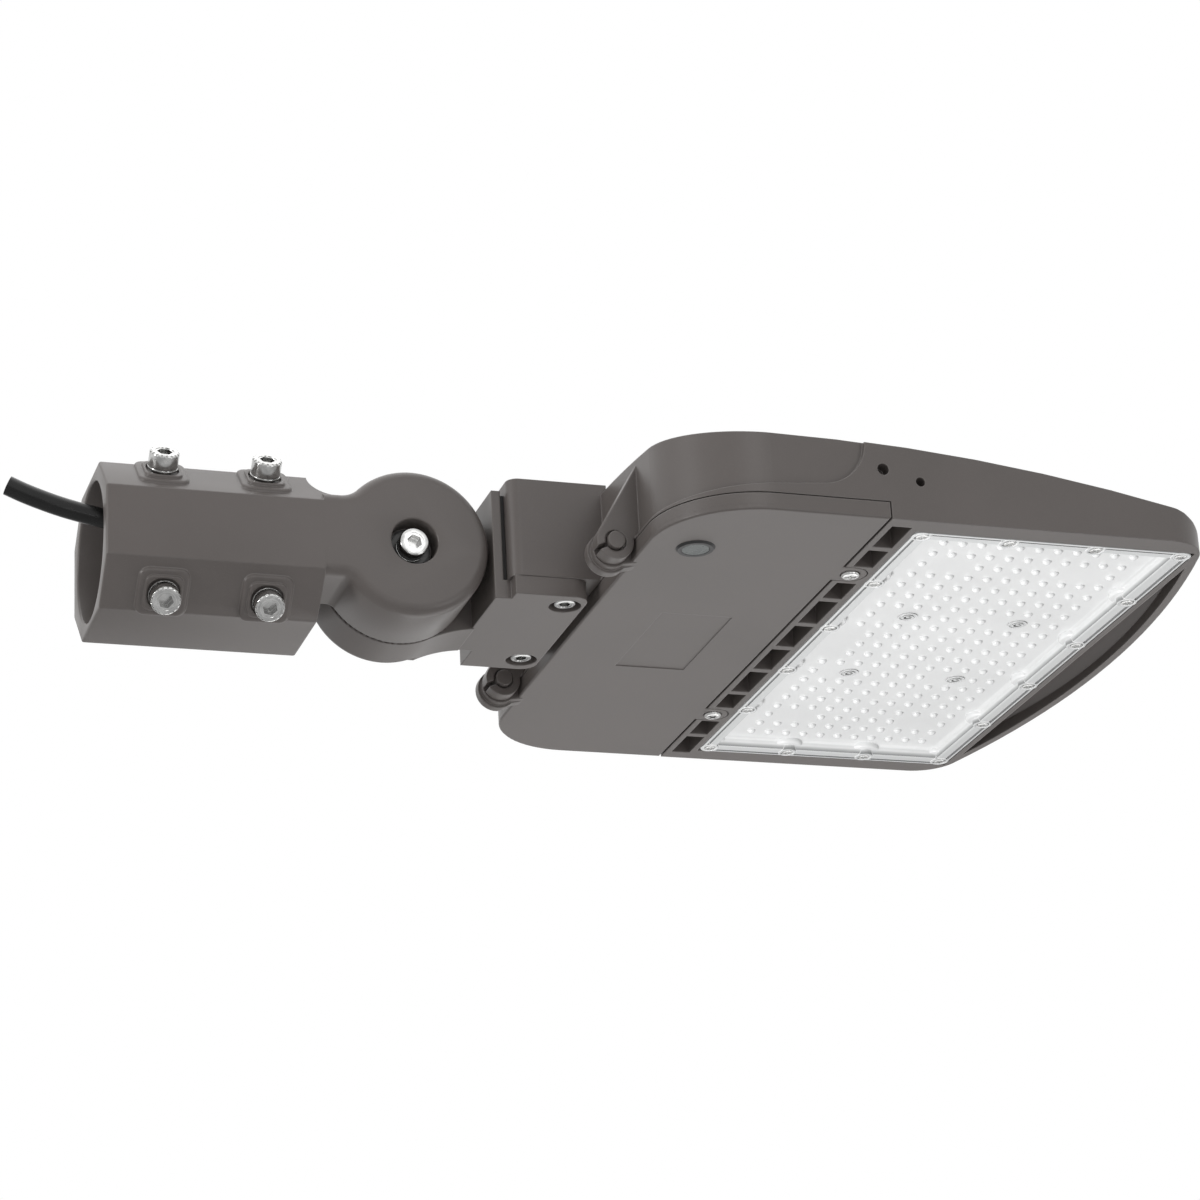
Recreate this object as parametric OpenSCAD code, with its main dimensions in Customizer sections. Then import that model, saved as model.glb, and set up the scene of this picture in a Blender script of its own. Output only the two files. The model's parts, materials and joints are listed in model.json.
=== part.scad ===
// Shoebox area light on a tilting slip fitter, in millimetres.
// Origin: centre of the pole-tenon socket's mouth. +X runs out along the arm to the
// light's front, +Z is up, and the light shines down towards -Z.

/* [Slip fitter] */
// Bore of the socket that takes the pole's tenon
tenon_bore = 62; // [58:0.5:64]
// Depth of the socket
socket_depth = 89; // [84:1:100]
// Wall that closes the socket
end_wall = 6; // [5:0.5:10]
// Sleeve, across its side flats
sleeve_w = 77; // [75:1:84]
// Sleeve, across its top and bottom flats
sleeve_h = 68; // [67:1:74]
// Height of each side flat
side_flat = 32; // [28:1:36]
// First clamping bolt, from the mouth
bolt_x = 26; // [20:1:30]
// Distance between the two clamping bolts of a row
bolt_pitch = 45; // [36:1:48]
// Raised square pad round each clamping bolt
pad_size = 20; // [18:1:22]
// How far a pad stands out
pad_rise = 2.4; // [1.6:0.2:3]

/* [Tilt knuckle] */
// From the sleeve's front end to the tilt axis
knuckle_reach = 40; // [39:1:46]
// Diameter of the two toothed discs
disc_d = 68; // [60:1:70]
// Rounding of the discs' outer edges
disc_edge = 5; // [3:0.5:6]
// Top of the neck above the tilt axis
neck_up = 20.6; // [18:0.2:21]
// Underside of the neck below the tilt axis
neck_down = 17.8; // [17:0.2:20]
// Radius of the hollow above the neck
hollow_up = 11.5; // [8:0.5:12]
// Radius of the hollow below the neck
hollow_down = 5; // [4:0.5:7]
// Side of the near disc that bears the teeth, left of the centre plane
tooth_y = 2; // [1:0.5:4]
// Width of the bracket's disc
far_disc_w = 26; // [24:1:30]
// Number of locking teeth round a disc
tooth_count = 72; // [48:12:72]
// Height of a tooth
tooth_h = 0.8; // [0.6:0.1:1]
// Gap left between the tooth tips so that the knuckle can turn
tooth_gap = 0.3; // [0.3:0.1:0.6]
// Diameter of the pivot bolt
pivot_d = 8; // [8:1:10]
// Diameter of the recess round the pivot bolt's head
seat_d = 21; // [20.5:0.5:24]
// Depth of that recess
seat_depth = 12; // [11:0.5:14]

/* [Bracket] */
// From the tilt axis to the flange's rear face
arm_reach = 35.5; // [35:0.5:42]
// Thickness of the flange
flange_t = 4; // [3:0.5:6]
// Width of the flange
flange_w = 76; // [68:1:84]
// Top of the flange above the tilt axis
flange_top = 27; // [24:1:29]
// Underside of the bracket below the tilt axis
foot_z = 23.8; // [22.5:0.1:26]
// Length of the foot plate in front of the flange
foot_len = 37.5; // [34:0.5:39]
// Spacing of the two foot bolts
foot_bolt_pitch = 67; // [50:1:70]
// Thickness of the rubber gasket behind the flange
arm_gasket_t = 2; // [1:0.5:3]

/* [Light head] */
// Width of the light head
head_w = 304; // [290:2:320]
// From the tilt axis to the foremost point
head_reach = 343.4; // [341:0.2:350]
// Underside of the door and rim below the tilt axis
rim_z = 22.9; // [22.5:0.1:24]
// Height of the crown's middle above the tilt axis
crown_z = 27.4; // [26:0.2:29]
// Radius of the crown across the head
crown_r = 790; // [700:5:850]
// Where the top begins to fall, ahead of the tilt axis
slope_start = 122; // [116:1:126]
// Radius of the falling top along the head
slope_r = 900; // [850:10:1100]
// Radius of the rounded rear corners
rear_r = 42; // [36:1:46]
// Radius of the front corners
front_r = 20; // [16:1:24]
// Radius of the bowed front
bow_r = 525; // [500:5:560]
// Depth of the step round the upper rear of the head
step = 2; // [1:0.5:2.5]
// Wall of the head
wall = 3.5; // [3:0.5:4]
// Width of the arm box at the rear
box_w = 90; // [88:1:96]
// Top of the arm box above the tilt axis
box_top = 30.6; // [29.8:0.2:33]
// Underside of the arm box below the tilt axis
box_floor = 15; // [14.6:0.1:16]
// Thickness of a cooling fin
fin_t = 2.2; // [1.8:0.2:3]
// Distance from one cooling fin to the next
fin_pitch = 10.4; // [9:0.2:13]

/* [Driver door] */
// Rear edge of the door, ahead of the tilt axis
door_rear = 82; // [81.5:0.5:84]
// Length of the door
door_len = 93; // [91:1:93.5]
// Height of the door's side
door_h = 7.5; // [7:0.1:8]
// Thickness of the door's sheet
door_t = 3; // [2.4:0.2:3.4]
// Gap all round the closed door
door_gap = 0.6; // [0.5:0.1:0.8]
// Distance between the two door screws
door_screw_pitch = 180; // [176:1:184]
// Diameter of the hinge pins
hinge_d = 7.7; // [7:0.1:8]
// From the hinge axis to the door's rear edge
hinge_back = 9; // [9:0.1:10]
// Distance between the two hinges
hinge_pitch = 169.5; // [166:0.5:176]
// Thickness of a hinge hook
hook_t = 7; // [5:0.5:7]
// Diameter of the sensor opening's cap
cap_d = 17; // [15:0.5:20]

/* [Lens and board] */
// Length of the lens plate along the head
lens_l = 130; // [128:1:131]
// Width of the lens plate
lens_w = 280; // [276:1:284]
// Rear edge of the lens plate, ahead of the tilt axis
lens_rear = 191.2; // [191:0.1:192]
// From the lens plate's rear edge to the first row of LEDs
led_rear = 20.8; // [19:0.2:24]
// From the lens plate's front edge to the last row of LEDs
led_front = 19.2; // [18:0.2:24]
// From the lens plate's side edges to the outer rows of LEDs
led_side = 19; // [18:0.5:24]
// Diameter of the small dome over each LED
dome_d = 4.4; // [3.6:0.1:5]

/* [Supply cord] */
// Diameter of the supply cord
cord_d = 8.6; // [7:0.1:9]

/* [Hidden] */
$fn = 64;

// Clearances: fixed pieces in their seats, running pins in their bores, moving neighbours.
seat_gap = 0.15;
run_gap = 0.05;
safe_gap = 0.4;
far = 600;

// Sleeve section and its sloping clamp faces
top_flat = sleeve_w - (sleeve_h - side_flat);
slope_face = (sleeve_w + side_flat) / 2 / sqrt(2);
sleeve_len = socket_depth + end_wall;
bore_r = tenon_bore / 2;

// Tilt axis and disc planes
pivot_x = sleeve_len + knuckle_reach;
near_y = -sleeve_w / 2;
far_y = -tooth_y + 2 * tooth_h + tooth_gap + far_disc_w;
near_teeth = -tooth_y;
far_teeth = -tooth_y + tooth_gap;
disc_r = disc_d / 2;
tooth_in = disc_r - 9;
tooth_w = 2.1;

// Bolt sizes that follow the thread
m8_head_d = 13;
m8_head_h = 8;
m6_d = 6;
m6_head_d = 10;
m6_head_h = 6;
m3_d = 3;

// Clamping bolts: head above its pad at rest, tip just short of the bore
pad_top = slope_face + pad_rise;
pad_dish = 1.6;
bolt_under = pad_top + 0.3;
bolt_tip = bore_r + 0.2;
clamp_d = 8;

// Bracket planes
flange_x = pivot_x + arm_reach;
gasket_x = flange_x + flange_t;
box_x = gasket_x + arm_gasket_t;
foot_front = gasket_x + foot_len;
foot_bolt_x = foot_front - 8.6;

// Head planes
head_x = pivot_x + door_rear;
half_w = head_w / 2;
front_x = pivot_x + head_reach;
door_top = -rim_z + door_h;
seam_z = door_top + 0.5;
door_front = head_x + door_len;
strip_x = door_front + door_gap;
bay_front = strip_x - 2.8;
vent_x = strip_x + 2.9;
lens_x = pivot_x + lens_rear;
lens_end = lens_x + lens_l;
pocket_gap = 0.5;
vent_end = lens_x - 3.6;

// Bowed front, from its radius and its corner radius
bow_x = front_x - bow_r;
corner_y = half_w - front_r;
corner_x = bow_x + sqrt(pow(bow_r - front_r, 2) - corner_y * corner_y);
bow_turn = atan2(corner_y, corner_x - bow_x);

// Angle of the falling top where the nose begins
fall_end = floor(asin((head_reach - slope_start - 11) / slope_r) / 2) * 2;

// Lens, board and pocket levels
lens_low = -rim_z + 1.1;
lens_seat = lens_low + 4;
gasket_seat = lens_seat + 1;
field_low = lens_seat - 0.2;
field_t = 1.5;
board_top = gasket_seat + 3.4;
board_t = 1.6;
led_t = 0.8;
fin_floor = board_top + 4;
ledge = 8;
rows = 21;
columns = 11;
led_dx = (lens_l - led_rear - led_front) / (columns - 1);
led_dy = (lens_w - 2 * led_side) / (rows - 1);
led_x0 = lens_x + led_rear;
led_y0 = -lens_w / 2 + led_side;
lens_edge = 4.2;
board_head_h = board_top - board_t - field_low - field_t - 0.3;
lens_screw_len = gasket_seat - lens_low + 4.5;
front_pocket = lens_end + pocket_gap + 3;

// LEDs are left out where the wires come through and where screws hold the board
function wired(i, j) = i == 0 && abs(j - 10) < 2;
function screwed(i, j) = (j == 7 || j == 13) && (i == 1 || i == 2 || i == 7 || i == 8);
function padded(i, j) = (j == 2 || j == 18) && (i == 1 || i == 2 || i == 8 || i == 9);
function lit(i, j) = !wired(i, j) && !screwed(i, j) && !padded(i, j);
led_spots = [
    for (i = [0:columns - 1]) for (j = [0:rows - 1]) if (lit(i, j))
        [led_x0 + i * led_dx, led_y0 + j * led_dy]
];
board_screw_spots = [
    for (c = [1.5, 7.5]) for (j = [7, 13]) [led_x0 + c * led_dx, led_y0 + j * led_dy],
    for (c = [1.5, 8.5]) for (j = [2, 18]) [led_x0 + c * led_dx, led_y0 + j * led_dy]
];
lens_screw_spots = [
    for (x = [lens_x + lens_edge, lens_end - lens_edge]) for (y = [-1, -0.6, -0.2, 0.2, 0.6, 1])
        [x, y * (lens_w / 2 - lens_edge)],
    for (x = [1 / 3, 2 / 3]) for (s = [-1, 1])
        [lens_x + lens_edge + x * (lens_l - 2 * lens_edge), s * (lens_w / 2 - lens_edge)]
];

// Openings for cooling air, as distances from the centre plane
vents = [[2, 27.7], [31.5, 58], [61.7, 80], [99, 117.5], [121.3, 144.2]];

// Hinges: each pin points to the near side, the hook round it, the lug behind it
hinge_x = head_x - hinge_back;
hinge_drop = 6.3;
hinge_z = -rim_z + hinge_drop;
hinge_r = hinge_d / 2;
lug_r = hinge_back - 0.25;
lug_t = 8.3;
lug_step = 1.2;
pin_stub = 1.8;
hook_r = 8.2;
near_hook = -hinge_pitch / 2 - 8.3;
hook_starts = [near_hook, near_hook + hinge_pitch];

// Door screws and their tabs
door_screw_x = strip_x + 5.1;
door_screw_d = 4;
tab_r = 7.2;

// Sensor cap and the bare recessed panel
cap_x = head_x + 22;
cap_y = -half_w + 46;
panel = [head_x + 32, -32, 33, 67];

// Driver bay equipment
driver_l = 150;
driver_w = 60;
driver_h = 27;
driver_x = head_x + 20;
driver_z = -11;
driver_screw_y = driver_l / 2 + 6;
block_size = [24, 34, 12];
block_x = head_x + 34;
block_y = 40 - half_w;
block_hole = [block_x + block_size[0] / 2, block_y];
surge_size = [44, 34, 12];
surge_x = head_x + 24;
surge_y = half_w - 56;
surge_hole = [surge_x + surge_size[0] / 2, surge_y + surge_size[1] / 2];
duct_y = 3.5;
duct_z = fin_floor + 1;
duct_r = 4;

// Cord route, hand-chosen: from the gland, up through the socket and out of its mouth
gland_y = -18;
gland_len = 7;
gland_x = socket_depth - gland_len;
cord_points = [
    [gland_x, gland_y, 0], [74, -18, 0], [64, -18, 0.2], [54, -17.6, 0.9], [44, -16.9, 2.1],
    [34, -16, 3.8], [24, -14.9, 5.9], [14, -13.8, 8.2], [4, -12.9, 10.6], [-6, -12.2, 12.9],
    [-15, -11.8, 15.2], [-23, -11.4, 17.8], [-30.5, -10.8, 20.7], [-37.5, -10.2, 23.9]
];

// ---- shared shapes ----

// Outline of the head seen from below, shrunk all round by inset
module plan(inset = 0) {
    rear_x = head_x + rear_r;
    translate([rear_x, -half_w + inset])
        square([corner_x - rear_x, 2 * (half_w - inset)]);
    translate([head_x + inset, -half_w + rear_r])
        square([corner_x - head_x - inset, 2 * (half_w - rear_r)]);
    for (s = [-1, 1]) {
        translate([rear_x, s * (half_w - rear_r)]) circle(r = rear_r - inset);
        translate([corner_x, s * corner_y]) circle(r = front_r - inset);
    }
    intersection() {
        translate([bow_x, 0]) circle(r = bow_r - inset, $fn = 720);
        translate([corner_x, -(bow_r - inset) * sin(bow_turn)])
            square([far, 2 * (bow_r - inset) * sin(bow_turn)]);
    }
}

// Everything under the crowned top, lowered by drop: one revolve about an axis far below,
// level over the rear and falling along an arc that tightens at the nose
function crown_line(drop) = [
    [0, 0], [crown_r - drop, 0], [crown_r - drop, pivot_x + slope_start],
    for (a = [2:2:fall_end]) fall(a, drop),
    fall(fall_end, drop) + [-1.4, 4], fall(fall_end, drop) + [-4.6, 9.6],
    fall(fall_end, drop) + [-39, 48], [0, front_x + 60]
];
function fall(a, drop) =
    [crown_r - drop - slope_r * (1 - cos(a)), pivot_x + slope_start + slope_r * sin(a)];

module under_crown(drop = 0) {
    translate([0, 0, crown_z - crown_r])
        rotate([0, 90, 0])
        rotate_extrude($fn = 720)
        polygon(crown_line(drop));
}

// A block between two X planes, as wide as the head and as high as asked
module slab(x0, x1, z0, z1) {
    translate([x0, -half_w - 5, z0]) cube([x1 - x0, head_w + 10, z1 - z0]);
}

module rounded_plate(size, r, t) {
    translate([0, 0, -t / 2]) linear_extrude(t) {
        square([size - 2 * r, size], center = true);
        square([size, size - 2 * r], center = true);
        for (x = [-1, 1]) for (y = [-1, 1])
            translate([x * (size / 2 - r), y * (size / 2 - r)]) circle(r = r);
    }
}

// Socket-head bolt: head on top of z = 0, shank below, hexagon socket in the head
module socket_bolt(d, head_d, head_h, length, key) {
    difference() {
        union() {
            cylinder(d = head_d, h = head_h - 0.8);
            translate([0, 0, head_h - 0.8])
                cylinder(d1 = head_d, d2 = head_d - 1.2, h = 0.8);
            translate([0, 0, -length]) cylinder(d = d, h = length + 1);
        }
        translate([0, 0, head_h * 0.45]) cylinder(d = key * 2 / sqrt(3), h = head_h, $fn = 6);
    }
}

// Pan-head screw pointing up from z = 0, with its head below
module pan_screw(d, head_d, head_h, length) {
    translate([0, 0, -head_h + 0.6]) cylinder(d = head_d, h = head_h - 0.6);
    translate([0, 0, -head_h]) cylinder(d1 = head_d - 1.6, d2 = head_d, h = 0.6);
    translate([0, 0, -0.5]) cylinder(d = d, h = length + 0.5);
}

// The two rows of clamping bolts lean 45 degrees above and below the near side
module at_clamp(x, side) {
    translate([x, 0, 0]) rotate([90 - side * 45, 0, 0]) children();
}

// ---- slip fitter ----

module sleeve_section() {
    y = sleeve_w / 2;
    z = sleeve_h / 2;
    polygon([
        [-y, side_flat / 2], [-y, -side_flat / 2], [-top_flat / 2, -z], [top_flat / 2, -z],
        [y, -side_flat / 2], [y, side_flat / 2], [top_flat / 2, z], [-top_flat / 2, z]
    ]);
}

// Teeth on a ring, pointing up from z = 0
module teeth() {
    for (k = [0:tooth_count - 1])
        rotate([0, 0, k * 360 / tooth_count])
            translate([tooth_in, 0, 0])
            rotate([90, 0, 90])
            linear_extrude(disc_r - 0.3 - tooth_in)
            polygon([[-tooth_w / 2, -0.4], [tooth_w / 2, -0.4], [0.35, tooth_h], [-0.35, tooth_h]]);
}

// Neck from the sleeve to the near disc, seen from the side. A round hollow of radius r,
// tangent to the neck at height h and to the disc, is centred at this X
function hollow_x(h, r) = pivot_x - sqrt(pow(disc_r + r, 2) - pow(h + r, 2));
function touch(h, r, s) = [
    pivot_x - disc_r / (disc_r + r) * (pivot_x - hollow_x(h, r)),
    s * disc_r / (disc_r + r) * (h + r)
];

module neck_side() {
    difference() {
        polygon([
            [sleeve_len, -neck_down], [sleeve_len, neck_up],
            [hollow_x(neck_up, hollow_up), neck_up], touch(neck_up, hollow_up, 1),
            [pivot_x, 0],
            touch(neck_down, hollow_down, -1), [hollow_x(neck_down, hollow_down), -neck_down]
        ]);
        translate([hollow_x(neck_up, hollow_up), neck_up + hollow_up]) circle(r = hollow_up);
        translate([hollow_x(neck_down, hollow_down), -neck_down - hollow_down])
            circle(r = hollow_down);
    }
}

// Cuts the sloping edge of the neck, straight and then along a hollow of radius r
module neck_edge(h, r) {
    x = hollow_x(h, r);
    sweep = 90 - atan2(h + r, pivot_x - x);
    b = disc_edge * 0.75;
    translate([sleeve_len - 1, near_y, h]) rotate([90, 0, 90])
        linear_extrude(x - sleeve_len + 1)
        polygon([[-1, -b - 1], [b + 1, 1], [-1, 1]]);
    translate([x, near_y, h + r]) rotate([90, 0, 0])
        rotate([0, 0, 270]) rotate_extrude(angle = sweep, $fn = 90)
        polygon([[r - 1, -b - 1], [r - 1, 1], [r + b + 1, 1]]);
}

module neck() {
    depth = near_teeth - tooth_h - near_y;
    x = hollow_x(neck_up, hollow_up);
    difference() {
        translate([0, near_y + depth, 0]) rotate([90, 0, 0]) linear_extrude(depth) neck_side();
        neck_edge(neck_up, hollow_up);
        mirror([0, 0, 1]) neck_edge(neck_down, hollow_down);
    }
    intersection() {
        translate([0, near_y + depth, 0]) rotate([90, 0, 0])
            linear_extrude(depth) difference() {
                translate([sleeve_len, neck_up - 2]) square([x - sleeve_len, hollow_up]);
                translate([x, neck_up + hollow_up]) circle(r = hollow_up);
            }
        rotate([90, 0, 90]) linear_extrude(x) sleeve_section();
    }
}

module slipfitter_sleeve() {
    color([0.26, 0.24, 0.23])
    difference() {
        union() {
            difference() {
                rotate([90, 0, 90]) linear_extrude(sleeve_len) sleeve_section();
                translate([hollow_x(neck_up, hollow_up), 0, neck_up + hollow_up])
                    rotate([90, 0, 0]) cylinder(r = hollow_up, h = far, center = true);
            }
            neck();
            translate([pivot_x, near_teeth - tooth_h, 0]) rotate([90, 0, 0])
                rotate_extrude() near_disc_profile();
            translate([pivot_x, near_teeth - tooth_h, 0]) rotate([-90, 0, 0]) teeth();
            for (x = [bolt_x, bolt_x + bolt_pitch]) for (side = [-1, 1])
                at_clamp(x, side) translate([0, 0, (slope_face + pad_top) / 2 - 0.5])
                    rounded_plate(pad_size, 4, pad_rise + 1);
        }
        translate([-1, 0, 0]) rotate([0, 90, 0]) cylinder(r = bore_r, h = socket_depth + 1);
        translate([-0.01, 0, 0]) rotate([0, 90, 0]) cylinder(r1 = bore_r + 1, r2 = bore_r, h = 1);
        for (x = [bolt_x, bolt_x + bolt_pitch]) for (side = [-1, 1]) {
            at_clamp(x, side) cylinder(d = clamp_d + 2 * run_gap, h = far);
            at_clamp(x, side) translate([0, 0, pad_top])
                rounded_plate(pad_size - 5, 3, 2 * pad_dish);
        }
        translate([pivot_x, near_y + seat_depth, 0]) rotate([90, 0, 0])
            cylinder(d = seat_d, h = seat_depth + 1);
        translate([pivot_x, 0, 0]) rotate([90, 0, 0])
            cylinder(d = pivot_d + 0.5, h = far, center = true);
        translate([pivot_x, near_teeth + 1, 0]) rotate([90, 0, 0])
            rotate_extrude() translate([pivot_d / 2 + 3, 0]) square([11, 16]);
        translate([socket_depth - 1, gland_y, 0]) rotate([0, 90, 0])
            cylinder(d = cord_d + 1.4, h = pivot_x - socket_depth - 14);
    }
}

// Half section of the near disc: the radius runs out, the axis runs to the outer face
module near_disc_profile() {
    w = near_teeth - tooth_h - near_y;
    square([disc_r - disc_edge, w]);
    square([disc_r, w - disc_edge]);
    translate([disc_r - disc_edge, w - disc_edge]) intersection() {
        circle(r = disc_edge);
        square(disc_edge + 1);
    }
}

module clamp_bolt(x, side) {
    color([0.78, 0.78, 0.77])
    at_clamp(x, side) translate([0, 0, bolt_under])
        socket_bolt(clamp_d, m8_head_d, m8_head_h, bolt_under - bolt_tip, 6);
}

module clamp_bolt_upper_rear() { clamp_bolt(bolt_x, 1); }
module clamp_bolt_upper_front() { clamp_bolt(bolt_x + bolt_pitch, 1); }
module clamp_bolt_lower_rear() { clamp_bolt(bolt_x, -1); }
module clamp_bolt_lower_front() { clamp_bolt(bolt_x + bolt_pitch, -1); }

// Pivot bolt, its washers and its nut, from the near side to the far side
seat_y = near_y + seat_depth;
flat_t = 1.6;
spring_t = 1.8;
under_head_y = seat_y - flat_t - spring_t;
nut_h = 6.8;
nut_key = 13;
nut_y = far_y - 4 - nut_h;

module pivot_bolt() {
    color([0.8, 0.8, 0.79])
    translate([pivot_x, under_head_y, 0]) rotate([90, 0, 0])
        socket_bolt(pivot_d, m8_head_d, m8_head_h, nut_y + nut_h + 1.5 - under_head_y, 6);
}

// A split ring, flat here, with its cut left open
module pivot_spring_washer() {
    color([0.7, 0.7, 0.7])
    translate([pivot_x, seat_y - flat_t, 0]) rotate([90, 0, 0]) difference() {
        cylinder(d = seat_d - 4, h = spring_t);
        translate([0, 0, -1]) cylinder(d = pivot_d + 0.4, h = spring_t + 2);
        rotate([0, 0, 35]) translate([pivot_d / 2 - 1, -0.6, -1]) cube([10, 1.2, spring_t + 2]);
    }
}

module pivot_flat_washer() {
    color([0.72, 0.72, 0.72])
    translate([pivot_x, seat_y, 0]) rotate([90, 0, 0]) difference() {
        cylinder(d = seat_d - 2, h = flat_t);
        translate([0, 0, -1]) cylinder(d = pivot_d + 0.4, h = flat_t + 2);
    }
}

module pivot_nut() {
    color([0.72, 0.72, 0.72])
    translate([pivot_x, nut_y + nut_h, 0]) rotate([90, 0, 0]) difference() {
        intersection() {
            cylinder(d = nut_key * 2 / sqrt(3), h = nut_h, $fn = 6);
            cylinder(d = nut_key * 2 / sqrt(3) - 0.7, h = nut_h);
        }
        translate([0, 0, -1]) cylinder(d = pivot_d + 2 * run_gap, h = nut_h + 2);
    }
}

// Gland screwed into the socket's end wall: thread, flange and domed grip round the cord
module cord_gland() {
    color([0.09, 0.09, 0.09])
    translate([gland_x, gland_y, 0]) rotate([0, 90, 0]) difference() {
        union() {
            cylinder(d = cord_d + 5.4, h = gland_len - 2.5, $fn = 6);
            translate([0, 0, gland_len - 2.5]) cylinder(d = cord_d + 6, h = 2.5);
            translate([0, 0, gland_len - 1])
                cylinder(d = cord_d + 1.4 - 2 * seat_gap, h = end_wall);
        }
        translate([0, 0, -1]) cylinder(d = cord_d - 2.6, h = gland_len + end_wall + 2);
    }
}

function unit(v) = v / norm(v);
function tangent(p, i) =
    unit(p[min(i + 1, len(p) - 1)] - p[max(i - 1, 0)]);
function cord_ring(p, i, sides) =
    let (t = i == 0 ? [-1, 0, 0] : tangent(p, i), u = unit(cross(t, [0, 1, 0])), v = cross(t, u))
    [for (k = [0:sides - 1]) p[i] + cord_d / 2 * (cos(k * 360 / sides) * u + sin(k * 360 / sides) * v)];

module supply_cord() {
    sides = 12;
    n = len(cord_points);
    rings = [for (i = [0:n - 1]) each cord_ring(cord_points, i, sides)];
    walls = [
        for (i = [0:n - 2]) for (k = [0:sides - 1])
            let (a = i * sides + k, b = i * sides + (k + 1) % sides)
            each [[a, b, b + sides], [a, b + sides, a + sides]]
    ];
    ends = [
        [for (k = [0:sides - 1]) sides - 1 - k],
        [for (k = [0:sides - 1]) (n - 1) * sides + k]
    ];
    color([0.05, 0.05, 0.05]) polyhedron(points = rings, faces = concat(walls, ends));
}

// ---- knuckle bracket ----

module far_disc_profile() {
    w = far_y - far_teeth - tooth_h;
    square([disc_r - disc_edge, w]);
    square([disc_r, w - disc_edge]);
    translate([disc_r - disc_edge, w - disc_edge]) intersection() {
        circle(r = disc_edge);
        square(disc_edge + 1);
    }
}

// Arm from the far disc to the flange, seen from the side, hollowed where it leaves the disc
arm_r = 60;
arm_hollow = sqrt(pow(disc_r + arm_r, 2) - pow(foot_z + arm_r, 2));

module arm_side() {
    touch = disc_r * (foot_z + arm_r) / (disc_r + arm_r);
    difference() {
        translate([pivot_x, -touch]) square([arm_reach + 1, 2 * touch]);
        for (s = [-1, 1])
            translate([pivot_x + arm_hollow, s * (foot_z + arm_r)]) circle(r = arm_r, $fn = 180);
    }
}

module foot_plan() {
    r = 7;
    w = box_w - 0.6;
    back = 3.4;
    translate([flange_x, -flange_w / 2]) square([flange_t + back, flange_w / 2 + far_y]);
    translate([gasket_x + back, -w / 2]) square([foot_len - back - r, w]);
    translate([foot_front - r - 1, -w / 2 + r]) square([r + 1, w - 2 * r]);
    for (s = [-1, 1]) translate([foot_front - r, s * (w / 2 - r)]) circle(r = r);
}

module knuckle_bracket() {
    color([0.28, 0.26, 0.25])
    difference() {
        union() {
            translate([pivot_x, far_teeth + tooth_h, 0]) rotate([-90, 0, 0])
                rotate_extrude() far_disc_profile();
            translate([pivot_x, far_teeth + tooth_h, 0]) rotate([90, 0, 0]) teeth();
            translate([0, far_y, 0]) rotate([90, 0, 0])
                linear_extrude(far_y - far_teeth - tooth_h) arm_side();
            translate([flange_x, -flange_w / 2, -foot_z])
                cube([flange_t, flange_w / 2 + far_y, foot_z + flange_top]);
            translate([flange_x, 0, -box_floor])
                cube([flange_t, flange_w / 2, box_floor + flange_top]);
            translate([0, 0, -foot_z]) linear_extrude(foot_z - box_floor) foot_plan();
        }
        translate([pivot_x, 0, 0]) rotate([90, 0, 0])
            cylinder(d = pivot_d + 0.2, h = far, center = true);
        translate([pivot_x, far_y + 1, 0]) rotate([90, 0, 0])
            cylinder(d = (nut_key + 0.5) * 2 / sqrt(3), h = far_y + 1 - nut_y, $fn = 6);
        translate([pivot_x, far_teeth + tooth_h + 12, 0]) rotate([90, 0, 0])
            rotate_extrude() translate([pivot_d / 2 + 3, 0]) square([11, 16]);
        translate([pivot_x + 12, 6.5, 0]) rotate([0, 90, 0]) cylinder(d = 11, h = far);
        for (s = [-1, 1]) translate([foot_bolt_x, s * foot_bolt_pitch / 2, -foot_z - 1]) {
            cylinder(d = m6_d + 0.6, h = far);
            cylinder(d = m6_head_d + 4.4, h = m6_head_h + 1.6);
        }
    }
}

module arm_gasket() {
    color([0.06, 0.06, 0.06])
    translate([gasket_x, -flange_w / 2 + 1.6, -box_floor + 1]) difference() {
        cube([arm_gasket_t, flange_w - 3.2, box_floor + flange_top - 2.6]);
        translate([-1, flange_w / 2 - 1.6 + 6.5, box_floor - 1]) rotate([0, 90, 0])
            cylinder(d = 12, h = arm_gasket_t + 2);
    }
}

module bracket_bolts() {
    color([0.8, 0.8, 0.79])
    for (s = [-1, 1])
        translate([foot_bolt_x, s * foot_bolt_pitch / 2, -foot_z + m6_head_h + 0.6])
            rotate([180, 0, 0]) socket_bolt(m6_d, m6_head_d, m6_head_h, 16, 5);
}

// ---- light head ----

// The arm box, hollow, rounded at its rear upright edges
module arm_box_plan(inset) {
    r = 5;
    x1 = head_x + step + 6;
    translate([box_x + r, -box_w / 2 + inset]) square([x1 - box_x - r, box_w - 2 * inset]);
    translate([box_x + inset, -box_w / 2 + r]) square([x1 - box_x - inset, box_w - 2 * r]);
    for (s = [-1, 1])
        translate([box_x + r, s * (box_w / 2 - r)]) circle(r = max(0.5, r - inset));
}

// Side view of the field that steps in round the upper rear
module step_side() {
    r = 21;
    x1 = strip_x - 10;
    ledge_z = seam_z + 5.9;
    high = crown_z + 50;
    polygon([[head_x - 20, seam_z - 0.5], [x1 - r, ledge_z], [x1 - r, high], [head_x - 20, high]]);
    translate([x1 - r - 0.01, ledge_z + r]) square([r, high]);
    translate([x1 - r, ledge_z + r]) circle(r = r);
}

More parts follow.
